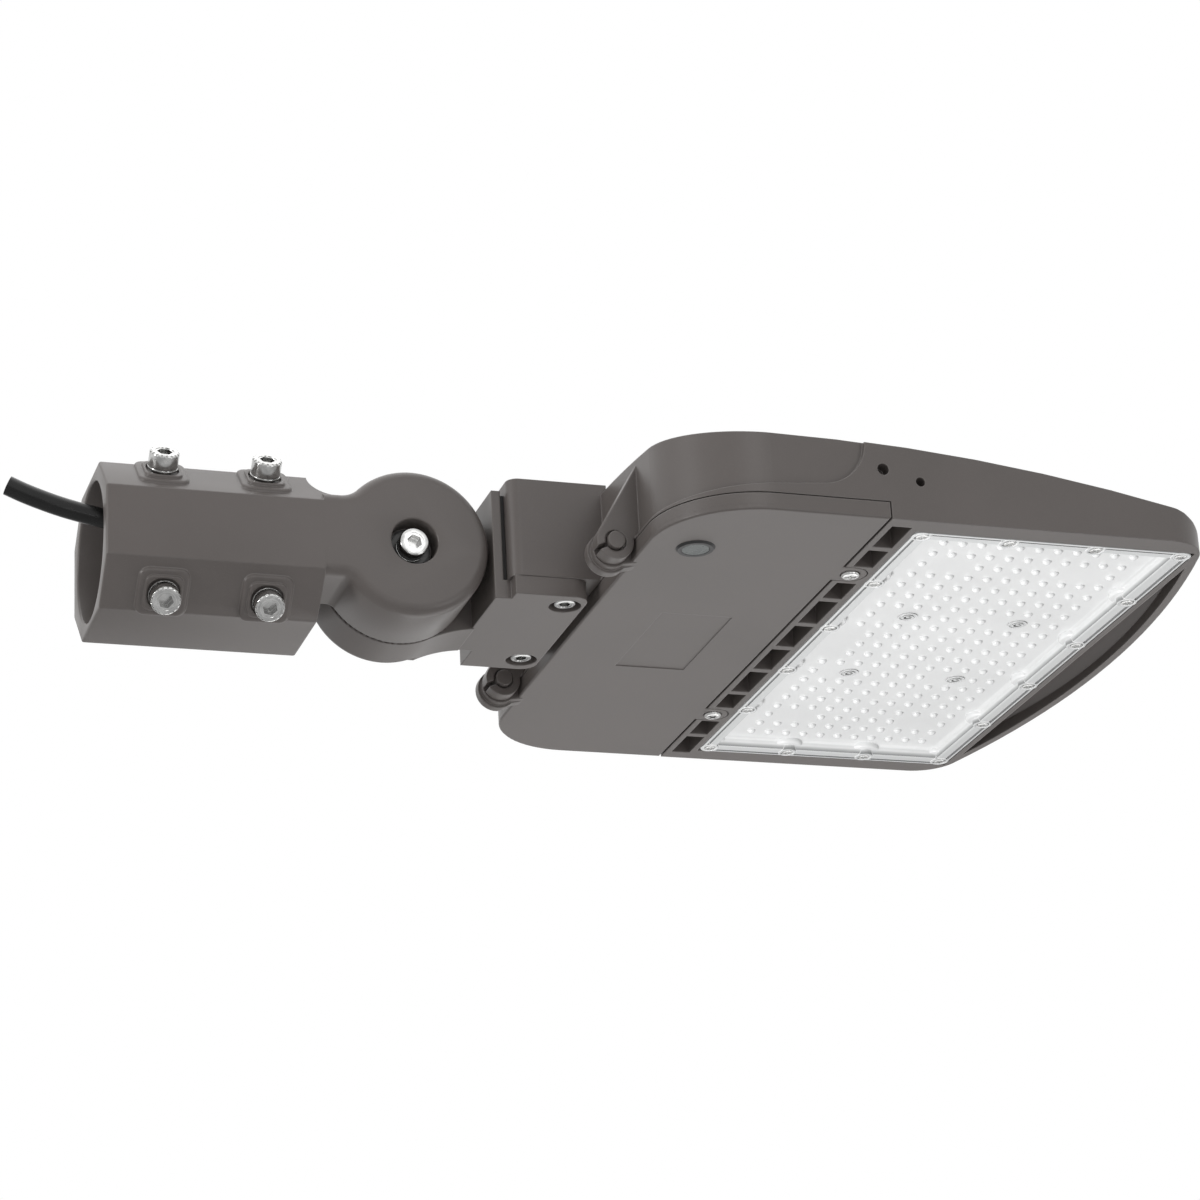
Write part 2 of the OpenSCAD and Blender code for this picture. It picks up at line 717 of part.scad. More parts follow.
// Gusset and hook of one hinge, seen from the side
module hook_side() {
    apex_z = crown_z - 7.5;
    difference() {
        union() {
            translate([hinge_x, hinge_z]) circle(r = hook_r);
            polygon([
                [hinge_x - hook_r * cos(32), hinge_z + hook_r * sin(32)],
                [head_x + step + 0.5, apex_z], [head_x + step + 3, apex_z],
                [head_x + step + 3, seam_z], [hinge_x + 5, seam_z], [hinge_x, hinge_z]
            ]);
        }
        translate([hinge_x, hinge_z]) rotate(205) translate([0, -1.1]) square([20, 2.2]);
    }
}

module hooks() {
    for (y = hook_starts) difference() {
        translate([0, y + hook_t, 0]) rotate([90, 0, 0]) linear_extrude(hook_t) hook_side();
        translate([hinge_x, y - 1, hinge_z]) rotate([-90, 0, 0])
            cylinder(r = hinge_r + 2 * run_gap, h = hook_t + 2);
        translate([hinge_x, y - 1, hinge_z]) rotate([-90, 0, 0])
            cylinder(r = hinge_r + 0.9, h = 2.4);
    }
}

module fin_slots() {
    count = floor((half_w - 6) / fin_pitch);
    intersection() {
        translate([0, 0, fin_floor]) linear_extrude(far) plan(5);
        for (k = [-count - 1:count])
            translate([strip_x + 1, (k + 0.5) * fin_pitch + fin_pitch / 2 - (fin_pitch - fin_t) / 2, 0])
                cube([lens_end - 1 - strip_x, fin_pitch - fin_t, far]);
    }
}

// Bosses and pads that hang from the roof of the driver bay
module bay_bosses() {
    intersection() {
        under_crown(1);
        union() {
            for (s = [-1, 1]) translate([driver_x + driver_w / 2, s * driver_screw_y, driver_z + driver_h])
                cylinder(d = 11, h = far);
            for (p = [block_hole, surge_hole])
                translate([p[0], p[1], 3]) cylinder(d = 13, h = far);
        }
    }
}

module housing() {
    color([0.27, 0.25, 0.24])
    difference() {
        union() {
            difference() {
                intersection() {
                    translate([0, 0, -rim_z]) linear_extrude(far / 4) plan();
                    under_crown();
                }
                // open underside over the door
                slab(0, strip_x, -rim_z - 1, seam_z);
                // step round the upper rear
                intersection() {
                    translate([0, half_w + 5, 0]) rotate([90, 0, 0])
                        linear_extrude(head_w + 10) step_side();
                    difference() {
                        translate([0, 0, -rim_z]) linear_extrude(far / 3) plan(-3);
                        translate([0, 0, -rim_z - 1]) linear_extrude(far / 3 + 2) plan(step);
                    }
                }
                // driver bay
                intersection() {
                    translate([0, 0, seam_z - 1]) linear_extrude(far / 4) plan(wall + step + 1);
                    under_crown(wall);
                    slab(0, bay_front, seam_z - 1, far / 4);
                }
                fin_slots();
                // hollow behind the bowed front
                intersection() {
                    translate([0, 0, -rim_z - 1]) linear_extrude(far / 4) plan(3.6);
                    under_crown(3);
                    slab(front_pocket, front_x, -rim_z - 1, far / 4);
                }
            }
            bay_bosses();
            // duct for the LED wires, and the side walls' thicker patches for the tapped holes
            translate([bay_front, duct_y - 7, fin_floor - 1])
                cube([led_x0 + 4 - bay_front, 14, duct_r * 2 + 4]);
            for (s = [-1, 1]) {
                translate([bay_front - 6, s * (half_w - 6.5) - 3.5, fin_floor - 1]) cube([26, 7, 13]);
                translate([door_screw_x, s * door_screw_pitch / 2, -rim_z + door_t + 0.8])
                    cylinder(d = 11, h = fin_floor + 5 + rim_z - door_t - 0.8);
            }
            // arm box
            difference() {
                translate([0, 0, -box_floor]) linear_extrude(box_floor + box_top) arm_box_plan(0);
                translate([0, 0, -box_floor + 9]) linear_extrude(box_floor + box_top - 9 - wall)
                    arm_box_plan(4);
                slab(head_x + step + 2.5, head_x + step + 8, -far, far);
            }
            hooks();
        }
        // way from the arm box into the driver bay
        translate([head_x - 4, -26, -box_floor + 12]) cube([wall + step + 12, 52, 22]);
        translate([box_x - 1, 6.5, 0]) rotate([0, 90, 0]) cylinder(d = 11, h = 12);
        for (s = [-1, 1]) translate([foot_bolt_x, s * foot_bolt_pitch / 2, -box_floor - 1])
            cylinder(d = m6_d + 2 * seat_gap, h = 11);
        // cooling openings beside the door
        for (v = vents) for (s = [-1, 1])
            translate([vent_x, s > 0 ? v[0] : -v[1], -rim_z - 1])
                cube([vent_end - vent_x, v[1] - v[0], fin_floor + rim_z + 1.5]);
        // tabs of the door and their tapped holes
        for (s = [-1, 1]) {
            translate([0, s * door_screw_pitch / 2, -rim_z - 1])
                linear_extrude(door_t + 1.8) tab_plan(door_gap);
            translate([door_screw_x, s * door_screw_pitch / 2, -rim_z])
                cylinder(d = door_screw_d + 0.9, h = door_t + 0.8 + 8);
        }
        // groove for the door gasket
        translate([0, 0, seam_z - 1]) linear_extrude(2.6) gasket_plan(0.1);
        // pocket for the lens, deeper inside its ledge for the board
        translate([lens_x - pocket_gap, -lens_w / 2 - pocket_gap, -rim_z - 1])
            cube([lens_l + 2 * pocket_gap, lens_w + 2 * pocket_gap, gasket_seat + rim_z + 1]);
        translate([lens_x + ledge, -lens_w / 2 + ledge, -rim_z])
            cube([lens_l - 2 * ledge, lens_w - 2 * ledge, board_top + rim_z]);
        for (p = lens_screw_spots) translate([p[0], p[1], -rim_z])
            cylinder(d = m3_d + 2 * seat_gap, h = gasket_seat + rim_z + 6);
        for (p = board_screw_spots) translate([p[0], p[1], -rim_z])
            cylinder(d = m3_d + 2 * seat_gap, h = board_top + rim_z + 3);
        // duct bore, and its way down to the board
        translate([bay_front - 5, duct_y, duct_z + duct_r]) rotate([0, 90, 0])
            cylinder(r = duct_r, h = led_x0 - 4 - bay_front + 5);
        translate([led_x0 - 4, duct_y, -rim_z]) cylinder(r = duct_r, h = duct_z + rim_z + duct_r);
        // tapped holes for accessories in both side walls
        for (s = [-1, 1]) {
            accessory_hole(bay_front + 0.4, -0.4, 2.6, s);
            accessory_hole(bay_front + 17, -4.9, 2.1, s);
        }
        // driver and pad screws
        for (s = [-1, 1]) translate([driver_x + driver_w / 2, s * driver_screw_y, 0])
            cylinder(d = 4 + 2 * seat_gap, h = driver_z + driver_h + 6);
        for (p = [block_hole, surge_hole])
            translate([p[0], p[1], 0]) cylinder(d = m3_d + 2 * seat_gap, h = 8);
    }
}

module accessory_hole(x, z, r, s) {
    translate([x, s * half_w, z]) rotate([s * 90, 0, 0]) translate([0, 0, -1]) cylinder(r = r, h = 7);
}

// Track of the door gasket on the bay's rim, and a spare width for its groove
module gasket_plan(spare) {
    mid = (wall + step + 1) / 2 + 0.3;
    intersection() {
        translate([0, -half_w]) square([bay_front + 2.4 + spare, head_w]);
        difference() {
            plan(mid - 1 - spare);
            intersection() {
                plan(mid + 1 + spare);
                translate([0, -half_w]) square([bay_front + 0.4 - spare, head_w]);
            }
        }
    }
}

module door_gasket() {
    color([0.08, 0.08, 0.08])
    translate([0, 0, seam_z - 0.15]) linear_extrude(1.75) gasket_plan(0);
}

module led_driver() {
    color([0.82, 0.82, 0.8])
    difference() {
        union() {
            translate([driver_x, -driver_l / 2, driver_z]) cube([driver_w, driver_l, driver_h]);
            translate([driver_x + driver_w / 2 - 9, -driver_screw_y - 6, driver_z + driver_h - 2])
                cube([18, 2 * driver_screw_y + 12, 2]);
            for (k = [-6:6]) translate([driver_x - 1.2, k * 10 - 1.5, driver_z + 4])
                cube([driver_w + 2.4, 3, driver_h - 8]);
        }
        for (s = [-1, 1]) translate([driver_x + driver_w / 2, s * driver_screw_y, driver_z])
            cylinder(d = 4.5, h = driver_h + 1);
    }
}

module driver_screws() {
    color([0.75, 0.75, 0.74])
    for (s = [-1, 1])
        translate([driver_x + driver_w / 2, s * driver_screw_y, driver_z + driver_h - 2])
            pan_screw(4, 8, 3, 7.5);
}

module surge_protector() {
    color([0.12, 0.12, 0.13])
    difference() {
        union() {
            translate([surge_x, surge_y, -11]) cube(surge_size);
            translate([surge_x + 4, surge_y + 4, 1]) cube([surge_size[0] - 8, surge_size[1] - 8, 2]);
        }
        translate([surge_hole[0], surge_hole[1], -12]) cylinder(d = 3.4, h = 20);
        translate([surge_hole[0], surge_hole[1], -12]) cylinder(d = 7, h = 5);
    }
}

module terminal_block() {
    color([0.9, 0.9, 0.86])
    difference() {
        translate([block_x, block_y - block_size[1] / 2, -9]) cube(block_size);
        for (k = [-1, 1]) translate([block_hole[0], block_y + k * 10.5, -10]) cylinder(d = 5, h = 5);
        for (k = [-1, 1]) for (s = [-1, 1])
            translate([block_hole[0] + s * 8, block_y + k * 10.5, -4]) rotate([0, 90, 0])
                cylinder(d = 4, h = 10, center = true);
        translate([block_hole[0], block_y, -10]) cylinder(d = 7, h = 5);
        translate([block_hole[0], block_y, -10]) cylinder(d = 3.4, h = 20);
    }
}

module accessory_screws() {
    color([0.75, 0.75, 0.74]) {
        translate([block_hole[0], block_hole[1], -5]) pan_screw(m3_d, 6, 2.2, 11.5);
        translate([surge_hole[0], surge_hole[1], -7]) pan_screw(m3_d, 6, 2.2, 13.5);
    }
}

module wire_bushing() {
    color([0.1, 0.1, 0.1])
    translate([bay_front - 2, duct_y, duct_z + duct_r]) rotate([0, 90, 0]) difference() {
        union() {
            cylinder(r = duct_r + 2, h = 2);
            cylinder(r = duct_r - seat_gap, h = 7);
        }
        translate([0, 0, -1]) cylinder(r = duct_r - 1.4, h = 9);
    }
}

module led_board() {
    color([0.93, 0.93, 0.92])
    difference() {
        translate([lens_x + ledge + 0.5, -lens_w / 2 + ledge + 0.5, board_top - board_t])
            cube([lens_l - 2 * ledge - 1, lens_w - 2 * ledge - 1, board_t]);
        for (p = board_screw_spots) translate([p[0], p[1], board_top - 3]) cylinder(d = 3.4, h = 5);
        translate([led_x0 - 4, duct_y, board_top - 3]) cylinder(r = duct_r - 0.5, h = 5);
    }
}

module leds() {
    color([0.95, 0.93, 0.75])
    for (p = led_spots) translate([p[0] - 1.5, p[1] - 1.5, board_top - board_t - led_t])
        cube([3, 3, led_t]);
}

module board_screws() {
    color([0.8, 0.8, 0.78])
    for (p = board_screw_spots) translate([p[0], p[1], board_top - board_t])
        pan_screw(m3_d, 5.6, board_head_h, board_t + 2.4);
}

module lens_gasket() {
    color([0.85, 0.85, 0.84])
    difference() {
        translate([lens_x + 0.5, -lens_w / 2 + 0.5, lens_seat])
            cube([lens_l - 1, lens_w - 1, gasket_seat - lens_seat]);
        translate([lens_x + ledge, -lens_w / 2 + ledge, lens_seat - 1])
            cube([lens_l - 2 * ledge, lens_w - 2 * ledge, 5]);
        for (p = lens_screw_spots) translate([p[0], p[1], lens_seat - 1]) cylinder(d = 3.4, h = 5);
    }
}

module lens_plan(inset) {
    r = max(1.2, 6 - inset);
    x0 = lens_x + inset;
    y0 = lens_w / 2 - inset;
    translate([x0 + r, -y0]) square([lens_l - 2 * (inset + r), 2 * y0]);
    translate([x0, -y0 + r]) square([lens_l - 2 * inset, 2 * (y0 - r)]);
    for (x = [x0 + r, lens_end - inset - r]) for (s = [-1, 1])
        translate([x, s * (y0 - r)]) circle(r = r);
}

// Moulded lens plate: raised border with round bosses, thin field with a dome for each LED
module lens_plate() {
    color([0.9, 0.92, 0.93, 0.5])
    difference() {
        union() {
            difference() {
                translate([0, 0, lens_low]) linear_extrude(lens_seat - lens_low) lens_plan(0);
                translate([0, 0, lens_low - 1]) linear_extrude(field_low - lens_low + 1 - 0.01)
                    lens_plan(ledge);
            }
            for (p = lens_screw_spots) intersection() {
                translate([p[0], p[1], lens_low]) cylinder(r = 5.6, h = lens_seat - lens_low);
                translate([0, 0, lens_low]) linear_extrude(10) lens_plan(0);
            }
            translate([0, 0, field_low]) linear_extrude(field_t) lens_plan(ledge + 0.6);
            for (p = led_spots) translate([p[0], p[1], field_low - 1.2])
                cylinder(d1 = dome_d - 2, d2 = dome_d, h = 1.3, $fn = 24);
        }
        for (p = lens_screw_spots) translate([p[0], p[1], lens_low - 1]) {
            cylinder(d = 3.4, h = 9);
            cylinder(d = 6.4, h = 1.6);
        }
    }
}

module lens_screws() {
    color([0.85, 0.85, 0.84])
    for (p = lens_screw_spots) translate([p[0], p[1], lens_low + 0.6])
        pan_screw(m3_d, 5.6, 1.4, lens_screw_len);
}

// ---- driver door ----

// Rounded tab at the door's front edge, with a spare width for its pocket
module tab_plan(spare) {
    r = tab_r + spare;
    translate([strip_x - 10, -r]) square([door_screw_x - strip_x + 10, 2 * r]);
    translate([door_screw_x, 0]) circle(r = r);
}

module door_plan(inset) {
    intersection() {
        plan(inset);
        translate([0, -half_w]) square([door_front - inset, head_w]);
    }
}

// Lug with its round end, seen from the side; its arm runs into the door's rear edge.
// Above the door its front clears the head all through the swing
module lug_side(r) {
    top = door_h - hinge_drop;
    difference() {
        translate([0.2, -1.1]) circle(r = r + 0.6);
        difference() {
            translate([0, top]) square(2 * r);
            circle(r = hinge_back - safe_gap);
        }
    }
    polygon([[1, -r - 0.5], [hinge_back + 3, -hinge_drop], [hinge_back + 3, top], [0, top + 1.4]]);
}

module driver_door() {
    color([0.29, 0.27, 0.26])
    difference() {
        union() {
            hull() {
                translate([0, 0, -rim_z]) linear_extrude(0.01) door_plan(0.7);
                translate([0, 0, -rim_z + 0.7]) linear_extrude(door_t - 0.7) door_plan(0);
            }
            difference() {
                translate([0, 0, -rim_z + door_t - 0.5]) linear_extrude(door_h - door_t + 0.5) door_plan(0);
                translate([0, 0, -rim_z + door_t - 1]) linear_extrude(far) door_plan(2.6);
            }
            for (s = [-1, 1]) translate([0, s * door_screw_pitch / 2, -rim_z])
                linear_extrude(door_t) tab_plan(0);
            // stiffening ribs inside the sheet
            for (s = [-1, 1])
                translate([head_x + 10, s * (half_w - 90) - 1, -rim_z + door_t - 0.5])
                    cube([door_len - 16, 2, 3]);
            translate([door_front - 15, 32 - half_w, -rim_z + door_t - 0.5])
                cube([2, head_w - 64, 3]);
            for (y = hook_starts) {
                translate([hinge_x, y + hook_t + safe_gap + lug_t, hinge_z]) rotate([90, 0, 0]) {
                    linear_extrude(lug_t) lug_side(lug_r - lug_step);
                    linear_extrude(lug_t * 0.55) lug_side(lug_r);
                }
                translate([hinge_x, y - pin_stub, hinge_z]) rotate([-90, 0, 0])
                    cylinder(r = hinge_r, h = pin_stub + hook_t + safe_gap + 1);
            }
        }
        for (s = [-1, 1]) {
            translate([door_screw_x, s * door_screw_pitch / 2, -rim_z - 1])
                cylinder(d = door_screw_d + 2 * seat_gap, h = far);
            translate([door_screw_x, s * door_screw_pitch / 2, -rim_z - 1]) cylinder(d = 9, h = 2);
        }
        translate([cap_x, cap_y, -rim_z - 1]) cylinder(d = cap_d - 4, h = door_t + 2);
        translate([panel[0], panel[1], -rim_z - 1]) cube([panel[2], panel[3], 1.4]);
    }
}

// Captive screws: pan heads in the tabs, tips just inside the housing's tapped holes
module door_screws() {
    color([0.8, 0.8, 0.79])
    for (s = [-1, 1]) translate([door_screw_x, s * door_screw_pitch / 2, -rim_z + 1])
        pan_screw(door_screw_d, 8, 2.4, door_t + 3);
}

module screw_retainers() {
    color([0.15, 0.15, 0.15])
    for (s = [-1, 1]) translate([door_screw_x, s * door_screw_pitch / 2, -rim_z + door_t]) difference() {
        cylinder(d = 7.4, h = 0.5);
        translate([0, 0, -1]) cylinder(d = door_screw_d + 2 * seat_gap, h = 3);
    }
}

module sensor_cap() {
    color([0.27, 0.25, 0.24])
    translate([cap_x, cap_y, -rim_z]) difference() {
        union() {
            translate([0, 0, -1]) cylinder(d1 = cap_d - 1.6, d2 = cap_d, h = 1);
            translate([0, 0, -0.5]) cylinder(d = cap_d - 4 - 2 * seat_gap, h = door_t + 5);
        }
        translate([0, 0, -1.5]) cylinder(d = cap_d - 5, h = 1.4);
        translate([0, 0, 1]) cylinder(d = cap_d - 8, h = door_t + 6);
    }
}

module sensor_window() {
    color([0.45, 0.48, 0.49])
    translate([cap_x, cap_y, -rim_z - 0.9]) cylinder(d = cap_d - 5 - 2 * seat_gap, h = 0.8);
}

module sensor_nut() {
    color([0.1, 0.1, 0.1])
    translate([cap_x, cap_y, -rim_z + door_t]) difference() {
        cylinder(d = (cap_d + 1) * 2 / sqrt(3), h = 3.4, $fn = 6);
        translate([0, 0, -1]) cylinder(d = cap_d - 4, h = 6);
    }
}

slipfitter_sleeve();
clamp_bolt_upper_rear();
clamp_bolt_upper_front();
clamp_bolt_lower_rear();
clamp_bolt_lower_front();
pivot_bolt();
pivot_spring_washer();
pivot_flat_washer();
pivot_nut();
cord_gland();
supply_cord();
knuckle_bracket();
arm_gasket();
bracket_bolts();
housing();
door_gasket();
led_driver();
driver_screws();
surge_protector();
terminal_block();
accessory_screws();
wire_bushing();
led_board();
leds();
board_screws();
lens_gasket();
lens_plate();
lens_screws();
driver_door();
door_screws();
screw_retainers();
sensor_cap();
sensor_window();
sensor_nut();
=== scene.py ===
import bpy
import bmesh
import json
import math
from mathutils import Matrix, Vector


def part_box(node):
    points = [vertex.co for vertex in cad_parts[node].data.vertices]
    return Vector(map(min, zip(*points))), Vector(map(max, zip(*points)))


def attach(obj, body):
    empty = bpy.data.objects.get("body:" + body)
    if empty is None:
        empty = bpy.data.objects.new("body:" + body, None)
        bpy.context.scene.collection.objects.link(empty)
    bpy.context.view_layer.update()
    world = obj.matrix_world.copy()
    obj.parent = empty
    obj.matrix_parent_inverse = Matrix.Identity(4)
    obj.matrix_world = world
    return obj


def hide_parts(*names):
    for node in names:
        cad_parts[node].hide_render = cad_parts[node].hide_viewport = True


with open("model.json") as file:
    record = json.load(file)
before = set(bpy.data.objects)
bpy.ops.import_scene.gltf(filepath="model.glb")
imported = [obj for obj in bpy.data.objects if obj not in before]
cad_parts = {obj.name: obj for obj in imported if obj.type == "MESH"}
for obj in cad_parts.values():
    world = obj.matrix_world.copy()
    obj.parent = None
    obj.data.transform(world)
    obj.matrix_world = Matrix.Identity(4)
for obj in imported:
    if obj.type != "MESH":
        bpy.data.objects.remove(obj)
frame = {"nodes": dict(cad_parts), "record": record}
nodes = frame["nodes"]
scene = bpy.context.scene
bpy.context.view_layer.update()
print("area light loaded:", len(nodes), "parts")

# the photograph's view, from below the near side
cameraSetup = {"place": (-0.2680, -1.4559, -0.6140), "turn": (111.5996, 2.9222, -17.7747),
               "lens": 110.25, "sensor": 36, "nearest": 0.02}
bpy.ops.object.camera_add(location=cameraSetup["place"],
                          rotation=[math.radians(a) for a in cameraSetup["turn"]])
camera = bpy.context.object
camera.name = "photoCamera"
camera.data.lens = cameraSetup["lens"]
camera.data.sensor_width = cameraSetup["sensor"]
camera.data.clip_start = cameraSetup["nearest"]
scene.camera = camera
print("camera placed")


def pieceFrom(name, mesh):
    piece = bpy.data.objects.new(name, mesh)
    scene.collection.objects.link(piece)
    return piece


def pickOnly(piece):
    bpy.ops.object.select_all(action="DESELECT")
    piece.select_set(True)
    bpy.context.view_layer.objects.active = piece


def finishPiece(piece, name, body, material, smoothAngle):
    pickOnly(piece)
    bpy.ops.object.transform_apply(location=True, rotation=True, scale=True)
    bpy.ops.object.shade_smooth_by_angle(angle=math.radians(smoothAngle))
    piece.name = name
    piece.data.name = name
    piece.data.materials.clear()
    piece.data.materials.append(material)
    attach(piece, body)


# materials: every pattern is in metres on the object's own coordinates

def newMaterial(name, shaderValues):
    material = bpy.data.materials.new(name)
    material.use_nodes = True
    shader = material.node_tree.nodes["Principled BSDF"]
    for socket, value in shaderValues.items():
        shader.inputs[socket].default_value = value
    return material, material.node_tree, shader


def addNoise(tree, scale, detail, roughness=0.55, stretch=(1, 1, 1)):
    place = tree.nodes.new("ShaderNodeTexCoord")
    mapping = tree.nodes.new("ShaderNodeMapping")
    mapping.inputs["Scale"].default_value = stretch
    noise = tree.nodes.new("ShaderNodeTexNoise")
    noise.inputs["Scale"].default_value = scale
    noise.inputs["Detail"].default_value = detail
    noise.inputs["Roughness"].default_value = roughness
    tree.links.new(place.outputs["Object"], mapping.inputs["Vector"])
    tree.links.new(mapping.outputs["Vector"], noise.inputs["Vector"])
    return noise


def twoTone(tree, source, dark, light, low=0.35, high=0.65):
    ramp = tree.nodes.new("ShaderNodeValToRGB")
    ramp.color_ramp.elements[0].position = low
    ramp.color_ramp.elements[0].color = (*dark, 1)
    ramp.color_ramp.elements[1].position = high
    ramp.color_ramp.elements[1].color = (*light, 1)
    tree.links.new(source, ramp.inputs["Fac"])
    return ramp.outputs["Color"]


def spread(tree, source, low, high, fromLow=0.3, fromHigh=0.7):
    mapRange = tree.nodes.new("ShaderNodeMapRange")
    mapRange.inputs["From Min"].default_value = fromLow
    mapRange.inputs["From Max"].default_value = fromHigh
    mapRange.inputs["To Min"].default_value = low
    mapRange.inputs["To Max"].default_value = high
    tree.links.new(source, mapRange.inputs["Value"])
    return mapRange.outputs["Result"]


def calculate(tree, operation, first, second):
    maths = tree.nodes.new("ShaderNodeMath")
    maths.operation = operation
    tree.links.new(first, maths.inputs[0])
    tree.links.new(second, maths.inputs[1])
    return maths.outputs["Value"]


def layTone(tree, amount, colour, tone):
    # covers a colour with one tone, where and as far as amount says
    toneMix = tree.nodes.new("ShaderNodeMixRGB")
    toneMix.inputs["Color2"].default_value = (*tone, 1)
    tree.links.new(amount, toneMix.inputs["Fac"])
    tree.links.new(colour, toneMix.inputs["Color1"])
    return toneMix.outputs["Color"]


def addBevel(tree, radius):
    rounding = tree.nodes.new("ShaderNodeBevel")
    rounding.samples = 8
    rounding.inputs["Radius"].default_value = radius
    return rounding.outputs["Normal"]


def addBump(tree, shader, source, strength, distance, soft=0):
    bump = tree.nodes.new("ShaderNodeBump")
    if soft:  # edges of the casting are rounded off by the coat
        tree.links.new(addBevel(tree, soft), bump.inputs["Normal"])
    bump.inputs["Strength"].default_value = strength
    bump.inputs["Distance"].default_value = distance
    tree.links.new(source, bump.inputs["Height"])
    tree.links.new(bump.outputs["Normal"], shader.inputs["Normal"])


def edgeTurn(tree, radius):
    # 1 on a flat face, less where an edge would be rounded
    geometry = tree.nodes.new("ShaderNodeNewGeometry")
    turned = tree.nodes.new("ShaderNodeVectorMath")
    turned.operation = "DOT_PRODUCT"
    tree.links.new(geometry.outputs["Normal"], turned.inputs[0])
    tree.links.new(addBevel(tree, radius), turned.inputs[1])
    return turned.outputs["Value"]


# shared by all finishes; the ranges say how much grain shows a fleck and how near an edge is lightened, by
# wear and by a painted highlight
finish = {"patchDetail": 4, "grainDetail": 3, "grainRoughness": 0.6, "fleckRange": (0.56, 0.72),
          "edgeWearAndHighlightAmount": 0.65, "edgeWearAndHighlightRange": (0.90, 0.995)}


def makeSurface(name, look):
    material, tree, shader = newMaterial(name, look.get("shader", {}))
    patches = addNoise(tree, look["patch"], finish["patchDetail"])
    grain = addNoise(tree, look["grain"], finish["grainDetail"], finish["grainRoughness"],
                     look.get("stretch", (1, 1, 1)))
    colour = twoTone(tree, patches.outputs["Fac"], look["dark"], look["light"])
    if "fleck" in look:  # lighter specks of the finish
        specks = spread(tree, grain.outputs["Fac"], 0, look["fleckAmount"], *finish["fleckRange"])
        colour = layTone(tree, specks, colour, look["fleck"])
    if "edgeWearAndHighlight" in look:  # lighter along the edges: partly wear, partly a painted highlight where the rounded edges would catch the light
        turned = edgeTurn(tree, look["edgeWearAndHighlightRadius"])
        edgeWearAndHighlightMask = spread(tree, turned, finish["edgeWearAndHighlightAmount"], 0, *finish["edgeWearAndHighlightRange"])
        colour = layTone(tree, edgeWearAndHighlightMask, colour, look["edgeWearAndHighlight"])
    tree.links.new(colour, shader.inputs["Base Color"])
    tree.links.new(spread(tree, patches.outputs["Fac"], *look["rough"]), shader.inputs["Roughness"])
    addBump(tree, shader, grain.outputs["Fac"], *look["bump"], look.get("soft", 0))
    return material


# bump holds its strength and depth; soft and the radius of the edge wear and painted edge highlight are radii
looks = {
    "bronzeCoat": {"dark": (0.122, 0.108, 0.101), "light": (0.136, 0.120, 0.113), "patch": 14, "grain": 1900,
                   "fleck": (0.17, 0.155, 0.145), "fleckAmount": 0.35, "edgeWearAndHighlight": (0.20, 0.183, 0.174),
                   "edgeWearAndHighlightRadius": 0.0009, "rough": (0.34, 0.42), "bump": (0.14, 0.00005), "soft": 0.0009},
    "zincSteel": {"dark": (0.44, 0.44, 0.435), "light": (0.66, 0.66, 0.65), "patch": 260, "grain": 2600,
                  "stretch": (1, 1, 0.25), "rough": (0.12, 0.30), "bump": (0.16, 0.00004),
                  "edgeWearAndHighlight": (0.85, 0.85, 0.84), "edgeWearAndHighlightRadius": 0.0004, "shader": {"Metallic": 1.0}},
    "brightZinc": {"dark": (0.66, 0.66, 0.65), "light": (0.82, 0.82, 0.81), "patch": 260, "grain": 2600,
                   "rough": (0.20, 0.32), "bump": (0.12, 0.00003), "shader": {"Metallic": 1.0}},
    # painted shade: near-black steel for the washers in the bolt recess
    "darkSteel": {"dark": (0.035, 0.035, 0.035), "light": (0.075, 0.074, 0.073), "patch": 200, "grain": 2400,
                  "rough": (0.30, 0.45), "bump": (0.14, 0.00004), "shader": {"Metallic": 0.8}},
    "blackRubber": {"dark": (0.020, 0.020, 0.020), "light": (0.034, 0.033, 0.032), "patch": 60, "grain": 2400,
                    "rough": (0.62, 0.78), "bump": (0.2, 0.00004)},
    "whiteSilicone": {"dark": (0.62, 0.62, 0.61), "light": (0.74, 0.74, 0.73), "patch": 40, "grain": 1500,
                      "rough": (0.42, 0.55), "bump": (0.12, 0.00004)},
    "cordJacket": {"dark": (0.006, 0.006, 0.006), "light": (0.011, 0.011, 0.011), "patch": 50, "grain": 1300,
                   "rough": (0.22, 0.32), "bump": (0.10, 0.00005), "shader": {"Specular IOR Level": 0.35}},
    "blackNylon": {"dark": (0.022, 0.022, 0.023), "light": (0.038, 0.037, 0.037), "patch": 70, "grain": 2000,
                   "rough": (0.38, 0.52), "bump": (0.14, 0.00004)},
    "creamNylon": {"dark": (0.68, 0.66, 0.58), "light": (0.78, 0.76, 0.68), "patch": 60, "grain": 1800,
                   "rough": (0.40, 0.52), "bump": (0.10, 0.00004)},
    "driverCase": {"dark": (0.62, 0.62, 0.61), "light": (0.72, 0.72, 0.71), "patch": 30, "grain": 900,
                   "stretch": (0.06, 1, 1), "rough": (0.28, 0.42), "bump": (0.12, 0.00004),
                   "shader": {"Metallic": 1.0}},
    "boardWhite": {"dark": (0.80, 0.80, 0.80), "light": (0.86, 0.86, 0.86), "patch": 30, "grain": 1400,
                   "rough": (0.35, 0.48), "bump": (0.08, 0.00003)},
    "phosphor": {"dark": (0.80, 0.74, 0.40), "light": (0.88, 0.82, 0.50), "patch": 500, "grain": 3000,
                 "rough": (0.30, 0.42), "bump": (0.10, 0.00003)},
    "windowGrey": {"dark": (0.095, 0.108, 0.106), "light": (0.125, 0.14, 0.138), "patch": 120, "grain": 1600,
                   "rough": (0.22, 0.32), "bump": (0.06, 0.00003), "shader": {"Coat Weight": 0.3}},
}
surfaces = {name: makeSurface(name, look) for name, look in looks.items()}


